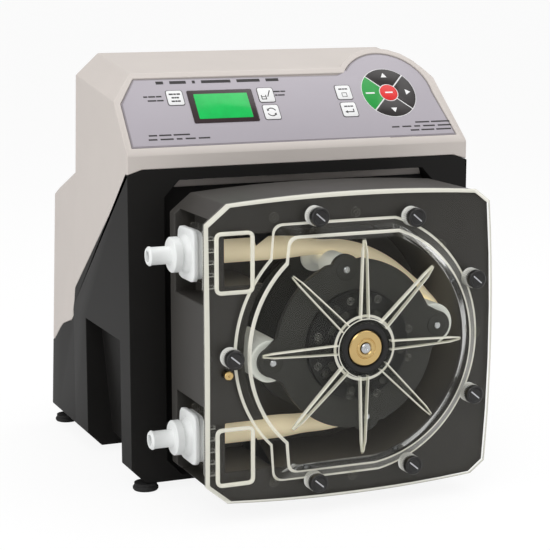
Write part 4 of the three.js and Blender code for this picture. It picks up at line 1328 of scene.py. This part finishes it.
def build_stage():
    scene = bpy.context.scene
    camera = bpy.data.objects.new("camera", bpy.data.cameras.new("camera"))
    scene.collection.objects.link(camera)
    camera.location = ORIGIN + Vector((-584, -1218, 306)) * MM
    look = Vector((0.3806, 0.9068, -0.1814))
    camera.rotation_mode = "QUATERNION"
    camera.rotation_quaternion = look.to_track_quat("-Z", "Y")
    camera.data.lens = 112.4
    scene.camera = camera

    work = bmesh.new()
    bmesh.ops.create_grid(work, x_segments=1, y_segments=1, size=30)
    floor = bpy.data.meshes.new("floor")
    work.to_mesh(floor)
    work.free()
    floor = new_object("floor", floor)
    floor.data.materials.append(floor_material())

    world = bpy.data.worlds.new("studio")
    world.use_nodes = True
    nodes, link = world.node_tree.nodes, world.node_tree.links.new
    seen, soft = nodes.new("ShaderNodeLightPath"), nodes.new("ShaderNodeMapRange")
    soft.inputs["To Min"].default_value = 0.52
    soft.inputs["To Max"].default_value = 1.0
    link(seen.outputs["Is Camera Ray"], soft.inputs["Value"])
    link(soft.outputs["Result"], nodes["Background"].inputs["Strength"])
    nodes["Background"].inputs["Color"].default_value = (1, 1, 1, 1)
    scene.world = world
    scene.view_settings.view_transform = "Standard"
    area_light("key", (-0.9, -1.5, 1.7), 1.2, 11)
    area_light("left", (-1.9, -0.2, 0.9), 1.2, 9)
    area_light("top", (0.5, 0.1, 1.7), 1.4, 9)
    area_light("right", (1.5, -1.0, 0.9), 1.0, 5)


def floor_material():
    """Pale floor that shows almost white, with only a trace of the pump's shadow."""
    made = material("floor_white", (0.86, 0.86, 0.86), 0.7)
    nodes, link = made.node_tree.nodes, made.node_tree.links.new
    glow, blend, seen = (
        nodes.new("ShaderNodeEmission"),
        nodes.new("ShaderNodeMixShader"),
        nodes.new("ShaderNodeLightPath"),
    )
    share = nodes.new("ShaderNodeMath")
    share.operation = "MULTIPLY"
    share.inputs[1].default_value = 0.85
    glow.inputs["Strength"].default_value = 1.05
    link(seen.outputs["Is Camera Ray"], share.inputs[0])
    link(share.outputs[0], blend.inputs[0])
    link(nodes["Principled BSDF"].outputs[0], blend.inputs[1])
    link(glow.outputs[0], blend.inputs[2])
    link(blend.outputs[0], nodes["Material Output"].inputs["Surface"])
    return made


def area_light(name, place, size, watts):
    data = bpy.data.lights.new(name, "AREA")
    data.size = size
    data.energy = watts
    lamp = bpy.data.objects.new(name, data)
    lamp.location = place
    lamp.rotation_mode = "QUATERNION"
    lamp.rotation_quaternion = (Vector((0, 0, 0.18)) - Vector(place)).to_track_quat("-Z", "Y")
    bpy.context.scene.collection.objects.link(lamp)


# ---------------------------------------------------------------- operators


class PumpOperator:
    bl_options = {"REGISTER", "UNDO"}


class PUMP_OT_stage(PumpOperator, bpy.types.Operator):
    """Set up the camera, the floor and the lights"""

    bl_idname = "pump.stage"
    bl_label = "Stage"

    def execute(self, context):
        build_stage()
        return {"FINISHED"}


class PUMP_OT_casing(PumpOperator, bpy.types.Operator):
    """Build the two painted castings and the neck that holds the head"""

    bl_idname = "pump.casing"
    bl_label = "Casing"

    def execute(self, context):
        build_casing(context.scene.pump_sizes)
        return {"FINISHED"}


class PUMP_OT_head(PumpOperator, bpy.types.Operator):
    """Build the pump head's casting"""

    bl_idname = "pump.head"
    bl_label = "Pump head"

    def execute(self, context):
        build_head()
        return {"FINISHED"}


class PUMP_OT_panel(PumpOperator, bpy.types.Operator):
    """Build the keypad overlay, the display and every key"""

    bl_idname = "pump.panel"
    bl_label = "Control panel"

    def execute(self, context):
        build_panel()
        return {"FINISHED"}


class PUMP_OT_cover(PumpOperator, bpy.types.Operator):
    """Build the clear ribbed cover with its bush and seal"""

    bl_idname = "pump.cover"
    bl_label = "Clear cover"

    def execute(self, context):
        build_cover(context.scene.pump_sizes)
        return {"FINISHED"}


class PUMP_OT_knobs(PumpOperator, bpy.types.Operator):
    """Build the knurled thumb screws and the leak sensor's screw"""

    bl_idname = "pump.knobs"
    bl_label = "Thumb screws"

    def execute(self, context):
        build_knobs(context.scene.pump_sizes)
        return {"FINISHED"}


class PUMP_OT_rotor(PumpOperator, bpy.types.Operator):
    """Build the rotor's plates, rollers, pins, cap and shaft"""

    bl_idname = "pump.rotor"
    bl_label = "Rotor"

    def execute(self, context):
        build_rotor()
        return {"FINISHED"}


class PUMP_OT_tube(PumpOperator, bpy.types.Operator):
    """Build the pump tube, its hose fittings and clamps"""

    bl_idname = "pump.tube"
    bl_label = "Tube and fittings"

    def execute(self, context):
        build_tube()
        build_fittings()
        return {"FINISHED"}


class PUMP_OT_base(PumpOperator, bpy.types.Operator):
    """Build the feet and finish the drive, boards and connections"""

    bl_idname = "pump.base"
    bl_label = "Feet and drive"

    def execute(self, context):
        build_feet()
        build_inside()
        build_back()
        return {"FINISHED"}


OPERATORS = (
    PUMP_OT_stage,
    PUMP_OT_casing,
    PUMP_OT_head,
    PUMP_OT_panel,
    PUMP_OT_cover,
    PUMP_OT_knobs,
    PUMP_OT_rotor,
    PUMP_OT_tube,
    PUMP_OT_base,
)


class PUMP_PT_panel(bpy.types.Panel):
    """Lists the pump's settings and the pieces that can be built"""

    bl_idname = "PUMP_PT_panel"
    bl_label = "Peristaltic pump"
    bl_space_type = "VIEW_3D"
    bl_region_type = "UI"
    bl_category = "Pump"

    def draw(self, context):
        for settings in (context.scene.pump_sizes, context.scene.pump_finishes):
            for name in settings.__annotations__:
                self.layout.prop(settings, name)
        for operator in OPERATORS:
            self.layout.operator(operator.bl_idname)


CLASSES = (PumpFinishes, PumpSizes, *OPERATORS, PUMP_PT_panel)


def register():
    for cls in CLASSES:
        bpy.utils.register_class(cls)
    bpy.types.Scene.pump_finishes = PointerProperty(type=PumpFinishes)
    bpy.types.Scene.pump_sizes = PointerProperty(type=PumpSizes)


def unregister():
    del bpy.types.Scene.pump_sizes
    del bpy.types.Scene.pump_finishes
    for cls in reversed(CLASSES):
        bpy.utils.unregister_class(cls)


def main():
    random.seed(7)
    register()
    for operator in OPERATORS:
        group, name = operator.bl_idname.split(".")
        getattr(getattr(bpy.ops, group), name)()


if __name__ == "__main__":
    main()
